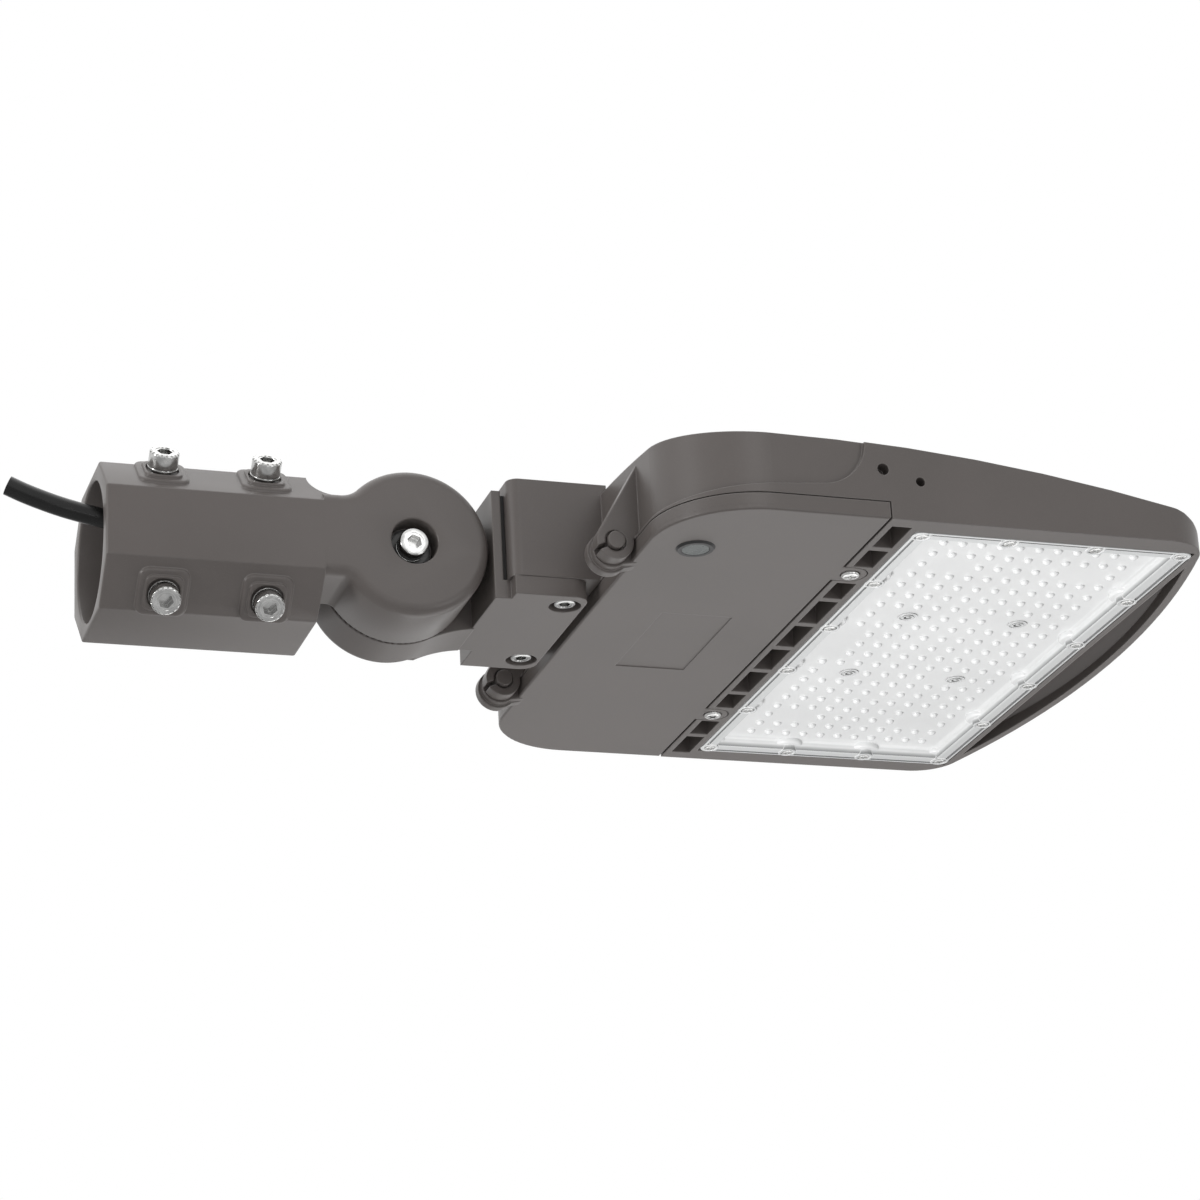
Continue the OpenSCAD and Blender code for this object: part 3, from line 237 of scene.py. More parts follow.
def makeClearLens(name, values):
    material, tree, shader = newMaterial(name, {"IOR": values["index"], "Alpha": values["alpha"]})
    patches = addNoise(tree, values["patch"], values["detail"])
    grain = addNoise(tree, values["grain"], values["detail"])
    colour = twoTone(tree, patches.outputs["Fac"], values["dark"], values["light"])
    place = tree.nodes.new("ShaderNodeTexCoord")
    level = tree.nodes.new("ShaderNodeSeparateXYZ")
    facing = tree.nodes.new("ShaderNodeSeparateXYZ")
    tree.links.new(place.outputs["Object"], level.inputs["Vector"])
    tree.links.new(place.outputs["Normal"], facing.inputs["Vector"])
    raised = spread(tree, level.outputs["Z"], 0, 1, *values["border"])
    # the ridges over the board screws count as border too
    for spot in values["rings"]:
        away = tree.nodes.new("ShaderNodeVectorMath")
        away.operation = "DISTANCE"
        away.inputs[1].default_value = spot
        tree.links.new(place.outputs["Object"], away.inputs[0])
        within = spread(tree, away.outputs["Value"], 1, 0, *values["ringReach"])
        raised = calculate(tree, "MAXIMUM", raised, within)
    # the border is greyer plastic; its steep walls get painted shade and its edges a painted highlight
    walls = spread(tree, facing.outputs["Z"], 1, 0, *values["wallShadeFacing"])
    edges = spread(tree, edgeTurn(tree, values["edge"]), 0, 1, *values["edgeHighlightRange"])
    colour = layTone(tree, raised, colour, values["borderTone"])
    colour = layTone(tree, calculate(tree, "MULTIPLY", raised, walls), colour, values["wallShadeTone"])
    colour = layTone(tree, calculate(tree, "MULTIPLY", raised, edges), colour, values["edgeHighlightTone"])
    tree.links.new(colour, shader.inputs["Base Color"])
    tree.links.new(spread(tree, patches.outputs["Fac"], *values["rough"]), shader.inputs["Roughness"])
    addBump(tree, shader, grain.outputs["Fac"], *values["bump"])
    return material


surfaces["clearLens"] = makeClearLens("clearLens", {
    "index": 1.58, "alpha": 0.90, "patch": 26, "grain": 900, "detail": 3, "dark": (0.83, 0.835, 0.835),
    "light": (0.87, 0.875, 0.875), "rough": (0.12, 0.20), "bump": (0.06, 0.00004),
    # from the level where the border starts to where it is full
    "border": (-0.0203, -0.0222), "borderTone": (0.70, 0.71, 0.71),
    # painted shade on the border's steep walls, painted highlight along its edges
    "wallShadeFacing": (-0.25, -0.8), "wallShadeTone": (0.30, 0.305, 0.305),
    "edge": 0.0004, "edgeHighlightRange": (0.995, 0.93), "edgeHighlightTone": (0.95, 0.95, 0.95),
    "rings": [(x, y, -0.0184) for x in (0.365, 0.419) for y in (-0.0363, 0.0363)],
    "ringReach": (0.0046, 0.0050)})

slotSurface = {
    "bronze_fitter": "bronzeCoat", "bronze_bracket": "bronzeCoat", "bronze_housing": "bronzeCoat",
    "bronze_door": "bronzeCoat", "zinc_bolts": "zincSteel", "zinc_screws": "zincSteel",
    "black_rubber": "blackRubber", "white_rubber": "whiteSilicone", "cord_jacket": "cordJacket",
    "black_plastic": "blackNylon", "cream_plastic": "creamNylon", "driver_case": "driverCase",
    "board_white": "boardWhite", "led_yellow": "phosphor", "lens_clear": "clearLens",
    "window_grey": "windowGrey",
}
nodeSlot = {part["node"]: part["material_slot"] for part in frame["record"]["subparts"]}
for nodeName, node in nodes.items():
    # the washers are coloured near-black steel: painted shade for the dark bolt recess they lie in
    surfaceName = "darkSteel" if "washer" in nodeName else slotSurface[nodeSlot[nodeName]]
    node.data.materials.clear()
    node.data.materials.append(surfaces[surfaceName])
print("finishes made:", len(surfaces))

# the cord lies where the model's own cord lies
supplyCord = {
    "diameter": 0.0086, "smoothness": 8,
    "route": [(0.082, -0.018, 0), (0.074, -0.018, 0), (0.064, -0.018, 0.0002), (0.054, -0.0176, 0.0009),
              (0.044, -0.0169, 0.0021), (0.034, -0.016, 0.0038), (0.024, -0.0149, 0.0059),
              (0.014, -0.0138, 0.0082), (0.004, -0.0129, 0.0106), (-0.006, -0.0122, 0.0129),
              (-0.015, -0.0118, 0.0152), (-0.023, -0.0114, 0.0178), (-0.0305, -0.0108, 0.0207),
              (-0.0375, -0.0102, 0.0239)],
}


def makeSupplyCord(values):
    curve = bpy.data.curves.new("supplyCord", "CURVE")
    curve.dimensions = "3D"
    spline = curve.splines.new("BEZIER")
    spline.bezier_points.add(len(values["route"]) - 1)
    for point, place in zip(spline.bezier_points, values["route"]):
        point.co = place
        point.handle_left_type = "AUTO"
        point.handle_right_type = "AUTO"
    curve.resolution_u = values["smoothness"]
    curve.bevel_depth = values["diameter"] / 2
    curve.bevel_resolution = values["smoothness"]
    curve.use_fill_caps = True
    cord = pieceFrom("supplyCord", curve)
    curve.materials.append(surfaces["cordJacket"])
    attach(cord, "slip_fitter")
    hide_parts("supply_cord")


makeSupplyCord(supplyCord)
print("cord laid")


# shared shapes; a point belongs to a plane when it is less than a hair away
hair = 0.00001
sharp = math.radians(20)


def shift(x, y, z):
    return Matrix.Translation((x, y, z))


def turn(degrees, axis):
    return Matrix.Rotation(math.radians(degrees), 4, axis)


def addBox(low, high):
    middle = [(a + b) / 2 for a, b in zip(low, high)]
    bpy.ops.mesh.primitive_cube_add(size=1, location=middle, scale=[b - a for a, b in zip(low, high)])
    bpy.ops.object.transform_apply(location=True, rotation=True, scale=True)
    return bpy.context.object


def addRod(radius, start, end, sides):
    start, end = Vector(start), Vector(end)
    along = end - start
    bpy.ops.mesh.primitive_cone_add(vertices=sides, radius1=radius, radius2=radius, depth=along.length,
                                    location=(start + end) / 2,
                                    rotation=along.to_track_quat("Z", "Y").to_euler())
    bpy.ops.object.transform_apply(location=True, rotation=True, scale=True)
    return bpy.context.object


def combine(piece, tool, how="DIFFERENCE", crossing=False):
    modifier = piece.modifiers.new("combine", "BOOLEAN")
    modifier.operation = how
    modifier.solver = "EXACT"
    modifier.use_self = crossing
    modifier.object = tool
    pickOnly(piece)
    bpy.ops.object.modifier_apply(modifier="combine")
    bpy.data.objects.remove(tool)
    return piece


def startEditing(piece, pick="SELECT", kind=None):
    # picks all or nothing; kind says which of vertices, edges and faces can be picked
    pickOnly(piece)
    bpy.ops.object.mode_set(mode="EDIT")
    if kind:
        bpy.context.tool_settings.mesh_select_mode = kind
    bpy.ops.mesh.select_all(action=pick)


def endEditing():
    bpy.ops.object.mode_set(mode="OBJECT")


def both(test):
    # picks the edges whose two ends pass a test
    return lambda a, b: test(a) and test(b)


def runsAlong(axis, length):
    # picks the edges that run further than length along an axis: x is 0, y is 1, z is 2
    return lambda a, b: abs(a[axis] - b[axis]) > length


def roundEdges(piece, width, segments, picked, clamp=True):
    startEditing(piece, "DESELECT", (False, True, False))
    shape = bmesh.from_edit_mesh(piece.data)
    for edge in shape.edges:
        if edge.calc_face_angle(0) > sharp and picked(edge.verts[0].co, edge.verts[1].co):
            edge.select_set(True)
    bmesh.update_edit_mesh(piece.data)
    bpy.ops.mesh.bevel(offset=width, segments=segments, affect="EDGES", clamp_overlap=clamp)
    endEditing()


def joinPieces(pieces):
    bpy.ops.object.select_all(action="DESELECT")
    for piece in pieces:
        piece.select_set(True)
    bpy.context.view_layer.objects.active = pieces[0]
    bpy.ops.object.join()
    return bpy.context.object


def copyTo(piece, move):
    copy = pieceFrom(piece.name + "Copy", piece.data.copy())
    copy.data.transform(move)
    return copy


def copiesAt(piece, moves):
    # one copy for each place, without the pattern itself
    copies = [copyTo(piece, move) for move in moves]
    bpy.data.objects.remove(piece)
    return copies


slipFitter = {
    "length": 0.095, "width": 0.077, "height": 0.068, "corner": 0.018, "fold": 0.0004, "endRound": 0.0011,
    "bore": 0.031, "boreDepth": 0.089, "mouthRound": 0.0009,
    # how far cutters reach past what they cut, pieces into each other, and roundings from a hole's edge
    "past": 0.01, "overlap": 0.0001, "rimReach": 0.0015,
    # neck and disc; setBack keeps the neck's face a hair behind the sleeve's
    "pivot": 0.135, "disc": 0.034, "discEdge": 0.005, "near": -0.0385, "seam": -0.0028, "setBack": 0.00002,
    "neckUp": 0.0206, "neckDown": 0.0178, "hollowUp": 0.0115, "hollowDown": 0.005, "hollowReach": 0.06,
    "arcSteps": (10, 84, 14), "saddle": 0.010, "saddleDepth": 0.003, "saddleTrim": 0.02,
    "pivotHole": 0.00425, "pivotDrill": -0.05, "boltRecess": 0.0105, "recessDepth": 0.012,
    "recessRound": 0.0007, "seamRound": 0.0005, "seamFrom": 0.107,
    "teeth": 72, "toothHeight": 0.0008, "toothRoot": -0.0004, "toothFrom": 0.0252, "toothTo": 0.0333,
    "toothHalf": 0.00095, "toothRound": 0.0006,
    # each step of a pad has its width, lower and upper level, and rounding
    "clampX": (0.026, 0.071), "padFace": 0.03854, "clampHole": 0.00415, "clampDepth": -0.012,
    "padSteps": [(0.0222, -0.0006, 0.0014, 0.0013), (0.0164, 0.0010, 0.0026, 0.0006)], "padCorner": 0.2,
    "dish": 0.0140, "dishDepth": 0.0018, "dishCorner": 0.42, "dishRim": 0.0004,
}


def arcPoints(x, z, radius, start, sweep, steps):
    turns = [start + sweep * i / steps for i in range(steps + 1)]
    return [(x + radius * math.cos(angle), z + radius * math.sin(angle)) for angle in turns]


def fitterOutline(v):
    # side view of neck and disc, hollowed where they meet
    def hollow(height, radius):
        across = math.sqrt((v["disc"] + radius) ** 2 - (height + radius) ** 2)
        return v["pivot"] - across, math.atan2(height + radius, across)
    downX, downTurn = hollow(v["neckDown"], v["hollowDown"])
    upX, upTurn = hollow(v["neckUp"], v["hollowUp"])
    quarter = math.pi / 2
    rear = v["length"] - v["overlap"]
    belowSteps, discSteps, aboveSteps = v["arcSteps"]
    below = arcPoints(downX, -v["neckDown"] - v["hollowDown"], v["hollowDown"], quarter,
                      downTurn - quarter, belowSteps)
    disc = arcPoints(v["pivot"], 0, v["disc"], math.pi + downTurn, 2 * math.pi - downTurn - upTurn,
                     discSteps)
    above = arcPoints(upX, v["neckUp"] + v["hollowUp"], v["hollowUp"], -upTurn, upTurn - quarter,
                      aboveSteps)
    return [(rear, -v["neckDown"]), *below, *disc[1:-1], *above, (rear, v["neckUp"])], upX


def atClamp(x, side, out):
    # a clamp bolt's place; the two rows lean 45 degrees above and below the near side
    return shift(x, 0, 0) @ turn(90 - side * 45, "X") @ shift(0, 0, out)


def makeClampPad(v):
    top = v["padSteps"][1][2]
    half = v["dish"] / 2
    pads = []
    for width, low, high, soft in v["padSteps"]:
        pad = addBox((-width / 2, -width / 2, low), (width / 2, width / 2, high))
        roundEdges(pad, width * v["padCorner"], 6, runsAlong(2, 0.0005))
        roundEdges(pad, soft, 4, both(lambda p, level=high: p.z > level - hair))
        pads.append(pad)
    dish = addBox((-half, -half, top - v["dishDepth"]), (half, half, v["past"]))
    roundEdges(dish, v["dish"] * v["dishCorner"], 8, runsAlong(2, 0.004))
    pad = combine(pads[0], pads[1], "UNION")
    combine(pad, dish)
    combine(pad, addRod(v["clampHole"], (0, 0, -v["past"]), (0, 0, v["past"]), 24))
    roundEdges(pad, v["dishRim"], 2,
               both(lambda p: p.z > top - hair and max(abs(p.x), abs(p.y)) < half + hair))
    return pad


def makeSleeve(v, upX, clampSpots):
    half = v["width"] / 2
    upZ = v["neckUp"] + v["hollowUp"]
    hollow = (v["hollowUp"], (upX, -v["hollowReach"], upZ), (upX, v["hollowReach"], upZ), 96)
    sleeve = addBox((0, -half, -v["height"] / 2), (v["length"], half, v["height"] / 2))
    roundEdges(sleeve, v["corner"], 1, runsAlong(0, 0.05))
    section = copyTo(sleeve, shift(0, 0, 0))
    roundEdges(sleeve, v["fold"], 4, runsAlong(0, 0.05))
    roundEdges(sleeve, v["endRound"], 3, both(lambda p: p.x < hair), clamp=False)
    roundEdges(sleeve, v["endRound"], 3,
               both(lambda p: p.x > v["length"] - hair and p.z < -v["neckDown"]), clamp=False)
    combine(sleeve, addRod(*hollow))
    for x, side in clampSpots:
        drill = addRod(v["clampHole"], (0, 0, v["clampDepth"]), (0, 0, v["past"]), 24)
        drill.data.transform(atClamp(x, side, v["padFace"]))
        combine(sleeve, drill)
    # saddle between the sleeve's end and the neck, trimmed to the sleeve's section
    saddle = addBox((v["length"] - v["saddle"], v["near"], v["neckUp"] - v["saddleDepth"]),
                    (upX, v["seam"], upZ))
    combine(saddle, addRod(*hollow))
    section.data.transform(shift(v["saddleTrim"], 0, 0))
    combine(saddle, section, "INTERSECT")
    return sleeve, saddle


def makeNeck(v, points, face):
    # neck and near disc in one piece, its near edge rounded past the sleeve's end
    def aroundDisc(a, b):
        return max(a.y, b.y) < face + hair and max(a.x, b.x) > v["length"] + v["overlap"]
    mesh = bpy.data.meshes.new("neck")
    mesh.from_pydata([(x, face, z) for x, z in points], [], [list(range(len(points)))])
    neck = pieceFrom("neck", mesh)
    startEditing(neck)
    bpy.ops.mesh.extrude_region_move(TRANSFORM_OT_translate={"value": (0, v["seam"] - face, 0)})
    bpy.ops.mesh.select_all(action="SELECT")
    bpy.ops.mesh.normals_make_consistent(inside=False)
    endEditing()
    roundEdges(neck, v["discEdge"], 8, aroundDisc, clamp=False)
    return neck


def makeTeeth(v):
    # one locking tooth, repeated round the seam face
    top = v["seam"] + v["toothHeight"]
    tooth = addBox((v["toothFrom"], -v["toothHalf"], v["toothRoot"]),
                   (v["toothTo"], v["toothHalf"], v["toothHeight"]))
    tooth.data.transform(shift(v["pivot"], v["seam"], 0) @ turn(-90, "X"))
    roundEdges(tooth, v["toothRound"], 1,
               lambda a, b: min(a.y, b.y) > top - hair and abs(a.x - b.x) > 0.003)
    startEditing(tooth)
    lastTurn = math.radians(360 * (v["teeth"] - 1) / v["teeth"])
    bpy.ops.mesh.spin(steps=v["teeth"], dupli=True, angle=lastTurn, center=(v["pivot"], 0, 0), axis=(0, 1, 0))
    endEditing()
    return tooth


def makeSlipFitter(v):
    points, upX = fitterOutline(v)
    clampSpots = [(x, side) for x in v["clampX"] for side in (1, -1)]
    face = v["near"] + v["setBack"]
    pivot = v["pivot"]
    sleeve, saddle = makeSleeve(v, upX, clampSpots)
    neck = makeNeck(v, points, face)
    combine(sleeve, saddle, "UNION")
    combine(sleeve, neck, "UNION", crossing=True)
    combine(sleeve, addRod(v["bore"], (-v["past"], 0, 0), (v["boreDepth"], 0, 0), 96))
    roundEdges(sleeve, v["mouthRound"], 3,
               both(lambda p: p.x < hair and p.yz.length < v["bore"] + v["rimReach"]))
    combine(sleeve, addRod(v["boltRecess"], (pivot, v["near"] - v["past"], 0),
                           (pivot, v["near"] + v["recessDepth"], 0), 64))
    combine(sleeve, addRod(v["pivotHole"], (pivot, v["pivotDrill"], 0), (pivot, v["past"], 0), 40))
    startEditing(sleeve)
    bpy.ops.mesh.fill_holes(sides=8)
    endEditing()
    centre = Vector((pivot, v["near"], 0))
    roundEdges(sleeve, v["recessRound"], 3,
               both(lambda p: p.y < face + hair and (p - centre).length < v["boltRecess"] + v["rimReach"]))
    roundEdges(sleeve, v["seamRound"], 2, both(lambda p: abs(p.y - v["seam"]) < hair and p.x > v["seamFrom"]))
    teeth = makeTeeth(v)
    pads = copiesAt(makeClampPad(v), [atClamp(x, side, v["padFace"]) for x, side in clampSpots])
    piece = joinPieces([sleeve, teeth, *pads])
    finishPiece(piece, "slipFitter", "slip_fitter", surfaces["bronzeCoat"], 38)
    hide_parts("slipfitter_sleeve")


makeSlipFitter(slipFitter)
print("slip fitter made")


# a head stands on a thin collar, with a groove between them that shows the neck inside; all radii
# but the head's are for a head of that radius, and collar and neck are shares of it
socketBolt = {
    "head": 0.0065, "headHeight": 0.008, "headRound": 0.0009, "footRound": 0.0002, "headFrom": 0.0011,
    "collar": 1.01, "collarHeight": 0.0010, "neck": 0.94, "neckSpan": (0.0005, 0.0014), "shank": 0.004,
    "shankTop": 0.0006, "tipRound": 0.0005, "socket": 0.00346, "socketDepth": 0.0042, "ring": 0.0043,
    "ringDepth": 0.0003, "past": 0.002, "knurls": 18, "knurlDepth": 0.0003, "knurlWidth": 0.00003,
    "knurlSlope": (0.12, 0.97),
}
footBolt = dict(socketBolt, headHeight=0.006, socketDepth=0.0034)
# turns are in degrees about each bolt's own axis
boltPlaces = {"clampLength": 0.0095, "clampOut": 0.04124, "clampTurns": (85, 17), "pivotTurn": 11,
              "foot": (0.2034, 0.0335), "footRadius": 0.005, "footTurns": (-12, 28)}


def knurl(bolt, v, sides):
    # notches cut across the rounded rim
    startEditing(bolt, "DESELECT", (False, False, True))
    shape = bmesh.from_edit_mesh(bolt.data)
    least, most = v["knurlSlope"]
    for face in shape.faces:
        middle = face.calc_center_median()
        step = math.atan2(middle.y, middle.x) / math.tau * sides
        face.select_set(least < face.normal.z < most and int(round(step - 0.5)) % 2 == 0)
    bmesh.update_edit_mesh(bolt.data)
    bpy.ops.mesh.inset(use_individual=True, thickness=v["knurlWidth"], depth=-v["knurlDepth"])
    endEditing()


def makeSocketBolt(v, length, radius, knurled=False):
    # head above z = 0, shank below
    sides = v["knurls"] * 2
    top = v["headHeight"]
    above = (0, 0, top + v["past"])
    bolt = addRod(radius, (0, 0, v["headFrom"]), (0, 0, top), sides)
    roundEdges(bolt, v["headRound"], 3, both(lambda p: p.z > top - hair))
    roundEdges(bolt, v["footRound"], 2, both(lambda p: p.z < v["headFrom"] + hair))
    if knurled:
        knurl(bolt, v, sides)
    combine(bolt, addRod(v["ring"] * radius / v["head"], (0, 0, top - v["ringDepth"]), above, 48))
    combine(bolt, addRod(v["socket"] * radius / v["head"], (0, 0, top - v["socketDepth"]), above, 6))
    collar = addRod(radius * v["collar"], (0, 0, 0), (0, 0, v["collarHeight"]), 48)
    roundEdges(collar, v["footRound"], 2, lambda a, b: abs(a.z - b.z) < hair)
    neckLow, neckHigh = v["neckSpan"]
    neck = addRod(radius * v["neck"], (0, 0, neckLow), (0, 0, neckHigh), 48)
    shank = addRod(v["shank"] * radius / v["head"], (0, 0, -length), (0, 0, v["shankTop"]), 32)
    roundEdges(shank, v["tipRound"], 1, both(lambda p: p.z < -length + hair))
    return joinPieces([bolt, collar, neck, shank])


def makeClampBolts(v):
    pattern = makeSocketBolt(socketBolt, v["clampLength"], socketBolt["head"], knurled=True)
    for row, side in (("upper", 1), ("lower", -1)):
        for end, x, turned in zip(("rear", "front"), slipFitter["clampX"], v["clampTurns"]):
            node = f"clamp_bolt_{row}_{end}"
            body = f"bolt_{row}_{end}"
            name = "clampBolt" + row.capitalize() + end.capitalize()
            bolt = copyTo(pattern, atClamp(x, side, v["clampOut"]) @ turn(turned, "Z"))
            finishPiece(bolt, name, body, surfaces["zincSteel"], 30)
            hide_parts(node)
    bpy.data.objects.remove(pattern)


def makePivotBolt(v):
    low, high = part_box("pivot_bolt")
    height = socketBolt["headHeight"]
    bolt = makeSocketBolt(socketBolt, (high.y - low.y) - height, socketBolt["head"])
    seat = shift(slipFitter["pivot"], low.y + height, 0)
    bolt.data.transform(seat @ turn(90, "X") @ turn(v["pivotTurn"], "Z"))
    finishPiece(bolt, "pivotBolt", "slip_fitter", surfaces["zincSteel"], 30)
    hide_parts("pivot_bolt")


def makeFootBolts(v):
    low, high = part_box("bracket_bolts")
    height = footBolt["headHeight"]
    x, y = v["foot"]
    feet = []
    for side, turned in zip((-1, 1), v["footTurns"]):
        bolt = makeSocketBolt(footBolt, high.z - low.z - height, v["footRadius"])
        bolt.data.transform(shift(x, side * y, low.z + height) @ turn(180, "X") @ turn(turned, "Z"))
        feet.append(bolt)
    piece = joinPieces(feet)
    finishPiece(piece, "footBolts", "light_head", surfaces["zincSteel"], 30)
    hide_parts("bracket_bolts")


makeClampBolts(boltPlaces)
makePivotBolt(boltPlaces)
makeFootBolts(boltPlaces)
print("bolts made")


# shares of a pan head's width or height, and how far the first and each next screw is turned
panHead = {"round": 0.45, "crossWidth": 0.62, "crossDepth": 0.5, "crossArm": 10, "firstTurn": 23,
           "nextTurn": 41}
screwSets = {
    "doorScrews": {"node": "door_screws", "body": "door", "head": 0.008, "height": 0.0024, "shank": 0.004,
                   "length": 0.006, "spots": [(0.3157, -0.09), (0.3157, 0.09)], "seat": -0.0219},
    "lensScrews": {"node": "lens_screws", "body": "light_head", "head": 0.0056, "height": 0.0014,
                   "shank": 0.003, "length": 0.0095, "seat": -0.0219, "spots": []},
    "boardScrews": {"node": "board_screws", "body": "light_head", "head": 0.0056, "height": 0.0012,
                    "shank": 0.003, "length": 0.004, "seat": -0.0150, "spots": []},
}


def drillCross(head, top, across, deep):
    # cross recess of a screw head whose top is at z = top
    arm = across / panHead["crossArm"]
    for x, y in ((across / 2, arm), (arm, across / 2)):
        combine(head, addBox((-x, -y, top - deep), (x, y, top + deep)))


def makePanScrew(v):
    # head above z = 0, shank below
    height = v["height"]
    head = addRod(v["head"] / 2, (0, 0, 0), (0, 0, height), 32)
    roundEdges(head, height * panHead["round"], 4, both(lambda p: p.z > height - hair))
    drillCross(head, height, v["head"] * panHead["crossWidth"], height * panHead["crossDepth"])
    shank = addRod(v["shank"] / 2, (0, 0, -v["length"]), (0, 0, 0.0002), 16)
    return joinPieces([head, shank])


lensPlate = {
    "rear": 0.3262, "front": 0.4562, "half": 0.140, "corner": 0.0056, "low": -0.0231, "seat": -0.0178,
    "lowRound": 0.0004, "edge": 0.0042, "field": -0.0180, "fieldGap": 0.00015, "fieldEdge": 0.0074,
    "top": -0.0165,
    # the border's steps: width and rise; no width closes the corners' arcs once they have shrunk
    "steps": [(0.0007, 0), (0.0002, -0.0016), (0.0012, 0), (0.0002, 0.0014), (0.0026, 0), (0, 0.0014),
              (0.0007, 0), (0.0008, -0.0004), (0.0010, -0.0035), (0.0011, -0.0009), (0.0014, -0.0002)],
    # posts hang from root: radius, lower end, sides, and their bore's radius and floor
    "root": -0.0179, "below": -0.03, "swell": (0.0078, -0.0204, 40), "swellRound": 0.0011,
    "swellInset": 0.0012, "boss": (0.0046, -0.0232, 32, 0.0033, -0.0219), "bossRound": 0.0005,
    "rings": [(0.0044, -0.0185, 36, 0.0039, -0.0181), (0.0025, -0.0188, 32, 0.0019, -0.0181),
              (0.0008, -0.0186, 20)],
    "columns": 11, "rows": 21, "ledEdge": (0.347, -0.121), "pitch": (0.009, 0.0121),
    "dome": 0.0020, "domeHeight": 0.0016, "domeRoot": 0.0002,
}


def lensSpots(v):
    xs = (v["rear"] + v["edge"], v["front"] - v["edge"])
    side = v["half"] - v["edge"]
    spots = [(x, side * k) for x in xs for k in (-1, -0.6, -0.2, 0.2, 0.6, 1)]
    return spots + [(xs[0] + (xs[1] - xs[0]) * k / 3, side * s) for k in (1, 2) for s in (-1, 1)]


def gridSpot(v, column, row):
    return v["ledEdge"][0] + column * v["pitch"][0], v["ledEdge"][1] + row * v["pitch"][1]


def ledSpots(v):
    spots = []
    for i in range(v["columns"]):
        for j in range(v["rows"]):
            wired = i == 0 and abs(j - v["rows"] // 2) < 2
            screwed = j in (7, 13) and i in (1, 2, 7, 8)
            padded = j in (2, 18) and i in (1, 2, 8, 9)
            if not (wired or screwed or padded):
                spots.append(gridSpot(v, i, j))
    return spots


def boardSpots(v):
    # the first four are the screws that the lens covers with rings
    return [gridSpot(v, column, row)
            for column, rows in ((2, (7, 13)), (8, (7, 13)), (1.5, (2, 18)), (8.5, (2, 18))) for row in rows]


def insetSteps(piece, steps):
    # carves a stepped border into the face that looks down
    startEditing(piece, "DESELECT", (False, False, True))
    shape = bmesh.from_edit_mesh(piece.data)
    shape.faces.ensure_lookup_table()
    low = [face for face in shape.faces if face.normal.z < -0.99]
    max(low, key=lambda face: face.calc_area()).select_set(True)
    bmesh.update_edit_mesh(piece.data)
    for width, depth in steps:
        if width:
            bpy.ops.mesh.inset(thickness=width, depth=depth)
        else:  # the corner's arc has shrunk to a point
            bpy.ops.mesh.remove_doubles(threshold=depth)
    endEditing()


def hangPost(v, radius, low, sides, bore=0, floor=0):
    post = addRod(radius, (0, 0, low), (0, 0, v["root"]), sides)
    if bore:
        combine(post, addRod(bore, (0, 0, v["below"]), (0, 0, floor), sides))
    return post


def makeBosses(v):
    # wide low step that swells round each boss, then the boss with its seat for the screw
    places = [shift(x, y, 0) for x, y in lensSpots(v)]
    swell = hangPost(v, *v["swell"])
    roundEdges(swell, v["swellRound"], 3, both(lambda p: p.z < v["swell"][1] + hair))
    swells = joinPieces(copiesAt(swell, places))
    inset = v["swellInset"]
    trim = addBox((v["rear"] + inset, inset - v["half"], v["below"]),
                  (v["front"] - inset, v["half"] - inset, 0))
    combine(swells, trim, "INTERSECT")
    boss = hangPost(v, *v["boss"])
    roundEdges(boss, v["bossRound"], 3, both(lambda p: p.z < v["boss"][1] + hair))
    return [swells, *copiesAt(boss, places)]


def makeDomes(v):
    bpy.ops.mesh.primitive_uv_sphere_add(segments=14, ring_count=8, radius=v["dome"],
                                         location=(0, 0, v["field"]))
    dome = bpy.context.object
    dome.scale.z = v["domeHeight"] / v["dome"]
    bpy.ops.object.transform_apply(location=True, rotation=True, scale=True)
    startEditing(dome)
    bpy.ops.mesh.bisect(plane_co=(0, 0, v["field"] + v["domeRoot"]), plane_no=(0, 0, 1), use_fill=True,
                        clear_outer=True)
    endEditing()
    return copiesAt(dome, [shift(x, y, 0) for x, y in ledSpots(v)])


def makeLens(v):
    plate = addBox((v["rear"], -v["half"], v["low"]), (v["front"], v["half"], v["seat"]))
    roundEdges(plate, v["corner"], 8, runsAlong(2, 0.003))
    roundEdges(plate, v["lowRound"], 3, both(lambda p: p.z < v["low"] + hair))
    insetSteps(plate, v["steps"])
    edge = v["fieldEdge"]
    sheet = addBox((v["rear"] + edge, edge - v["half"], v["field"] + v["fieldGap"]),
                   (v["front"] - edge, v["half"] - edge, v["top"]))
    bosses = makeBosses(v)
    ring = joinPieces([hangPost(v, *post) for post in v["rings"]])
    rings = copiesAt(ring, [shift(x, y, 0) for x, y in boardSpots(v)[:4]])
    piece = joinPieces([plate, sheet, *bosses, *rings, *makeDomes(v)])
    finishPiece(piece, "lensPlate", "light_head", surfaces["clearLens"], 32)
    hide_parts("lens_plate")


def makeScrews():
    screwSets["lensScrews"]["spots"] = lensSpots(lensPlate)
    screwSets["boardScrews"]["spots"] = boardSpots(lensPlate)
    for name, v in screwSets.items():
        places = []
        for k, (x, y) in enumerate(v["spots"]):
            turned = turn(180, "X") @ turn(panHead["firstTurn"] + panHead["nextTurn"] * k, "Z")
            places.append(shift(x, y, v["seat"]) @ turned)
        piece = joinPieces(copiesAt(makePanScrew(v), places))
        finishPiece(piece, name, v["body"], surfaces["brightZinc"], 30)
        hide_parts(v["node"])


makeLens(lensPlate)
makeScrews()
print("lens and screws made")


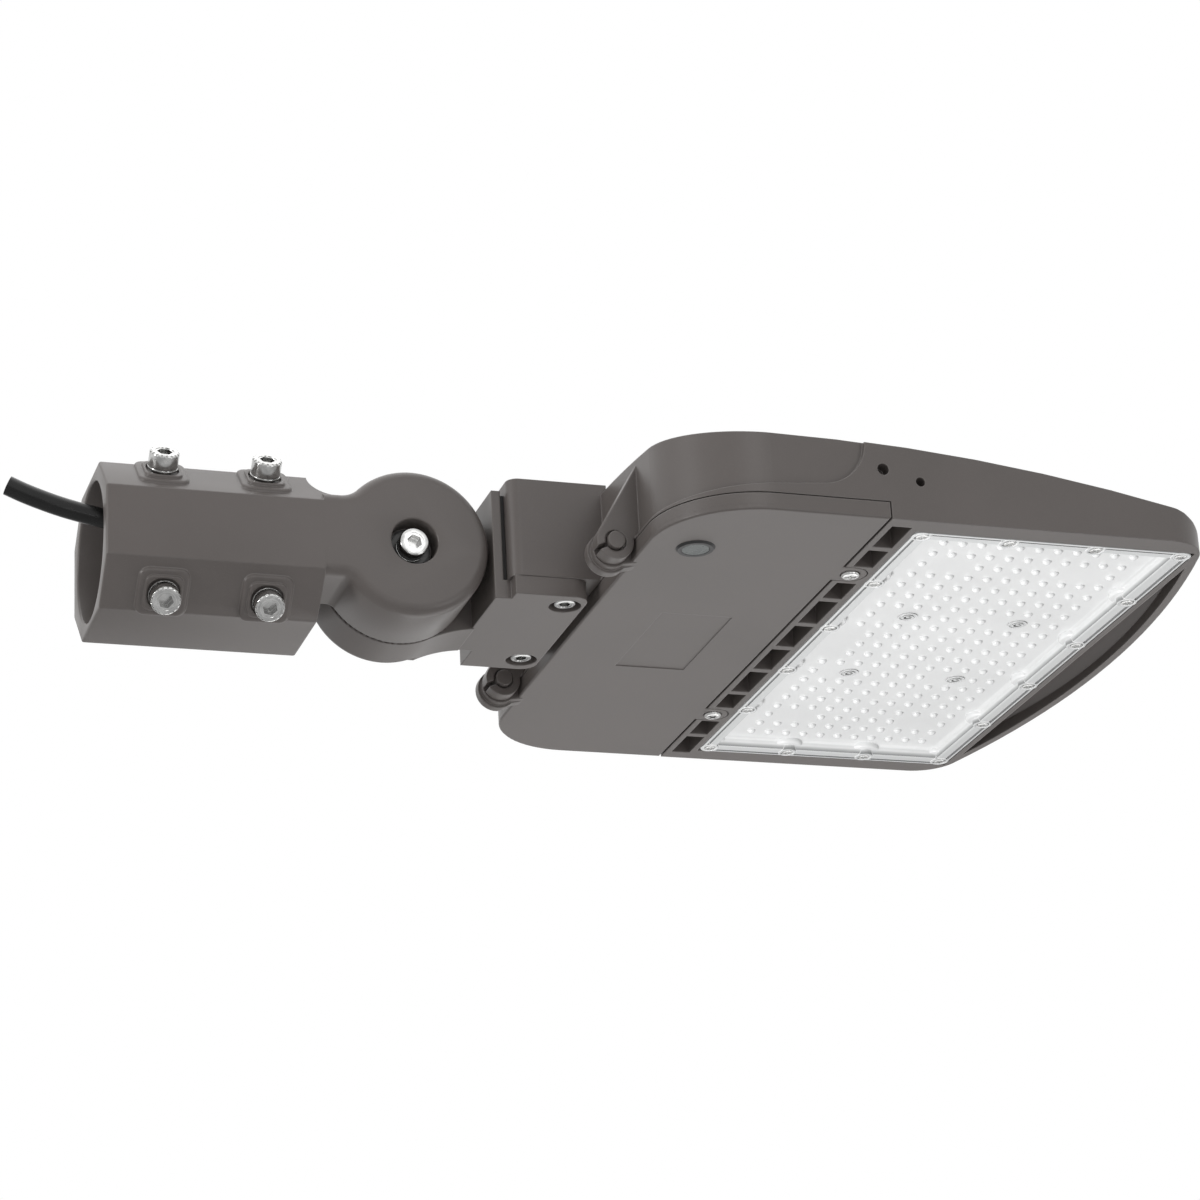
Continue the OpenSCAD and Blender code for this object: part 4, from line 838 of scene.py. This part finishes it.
# studio: pale floor, and soft lamps below, round and above the light
studio = {
    "floorSize": 8, "floorPlace": (0.2, 0, -0.95), "floorRough": 0.8, "floorNoise": (3, 2),
    "floorTones": ((0.85, 0.85, 0.85), (0.88, 0.88, 0.88)), "floorGlow": 0.42, "worldLight": 0.40,
    "aim": (0.30, 0, 0),
    # name, place, width, depth, power, and whether it leaves out the lens or lights that alone
    "lights": [("underLight", (0.60, 0.38, -0.85), 1.2, 1.0, 5.4, "EXCLUDE"),
               ("lensLight", (-0.27, -0.31, -0.84), 0.4, 0.4, 10.6, "INCLUDE"),
               ("frontLight", (0.00, -1.25, -0.50), 0.26, 0.26, 0.7, "EXCLUDE"),
               ("sideLight", (0.86, -1.00, -0.40), 0.30, 0.30, 1.2, "EXCLUDE"),
               ("rearLight", (-1.00, -0.34, 0.12), 0.22, 0.22, 3.4, "EXCLUDE"),
               ("discLight", (0.26, -0.50, 0.19), 0.16, 0.26, 0.14, "EXCLUDE"),
               ("topLight", (0.10, 0.10, 1.10), 1.6, 1.2, 5.0, "")],
}
white = (1, 1, 1, 1)


def makeFloor(v):
    bpy.ops.mesh.primitive_plane_add(size=v["floorSize"], location=v["floorPlace"])
    floor = bpy.context.object
    floor.name = "studioFloor"
    material, tree, shader = newMaterial("floorPaint", {"Roughness": v["floorRough"],
                                                        "Emission Color": white})
    noise = addNoise(tree, *v["floorNoise"])
    tree.links.new(twoTone(tree, noise.outputs["Fac"], *v["floorTones"]), shader.inputs["Base Color"])
    # paler to the camera alone, so that it lights nothing
    rays = tree.nodes.new("ShaderNodeLightPath")
    tree.links.new(spread(tree, rays.outputs["Is Camera Ray"], 0, v["floorGlow"], 0, 1),
                   shader.inputs["Emission Strength"])
    floor.data.materials.append(material)


def addLamp(name, place, width, depth, power, lensState, aim):
    facing = (Vector(aim) - Vector(place)).to_track_quat("-Z", "Y").to_euler()
    bpy.ops.object.light_add(type="AREA", location=place, rotation=facing)
    lamp = bpy.context.object
    lamp.name = name
    lamp.data.shape = "RECTANGLE"
    lamp.data.size = width
    lamp.data.size_y = depth
    lamp.data.energy = power
    lamp.visible_camera = False
    if lensState:  # the lens and the casting are lit from opposite sides
        lit = bpy.data.collections.new(name + "Set")
        lit.objects.link(bpy.data.objects["lensPlate"])
        lit.collection_objects[0].light_linking.link_state = lensState
        lamp.light_linking.receiver_collection = lit


def makeWorld(v):
    # white paper to the camera and in reflections, dimmer as a light
    world = bpy.data.worlds.new("studioWorld")
    scene.world = world
    world.use_nodes = True
    tree = world.node_tree
    softLight = tree.nodes["Background"]
    softLight.inputs["Color"].default_value = white
    softLight.inputs["Strength"].default_value = v["worldLight"]
    paper = tree.nodes.new("ShaderNodeBackground")
    paper.inputs["Color"].default_value = white
    paper.inputs["Strength"].default_value = 1
    rays = tree.nodes.new("ShaderNodeLightPath").outputs
    seen = calculate(tree, "MAXIMUM", rays["Is Camera Ray"], rays["Is Glossy Ray"])
    seen = calculate(tree, "MAXIMUM", seen, rays["Is Transmission Ray"])
    either = tree.nodes.new("ShaderNodeMixShader")
    tree.links.new(seen, either.inputs["Fac"])
    tree.links.new(softLight.outputs["Background"], either.inputs[1])
    tree.links.new(paper.outputs["Background"], either.inputs[2])
    tree.links.new(either.outputs["Shader"], tree.nodes["World Output"].inputs["Surface"])


makeFloor(studio)
for lampValues in studio["lights"]:
    addLamp(*lampValues, studio["aim"])
makeWorld(studio)
scene.view_settings.view_transform = "Standard"
print("studio lit")
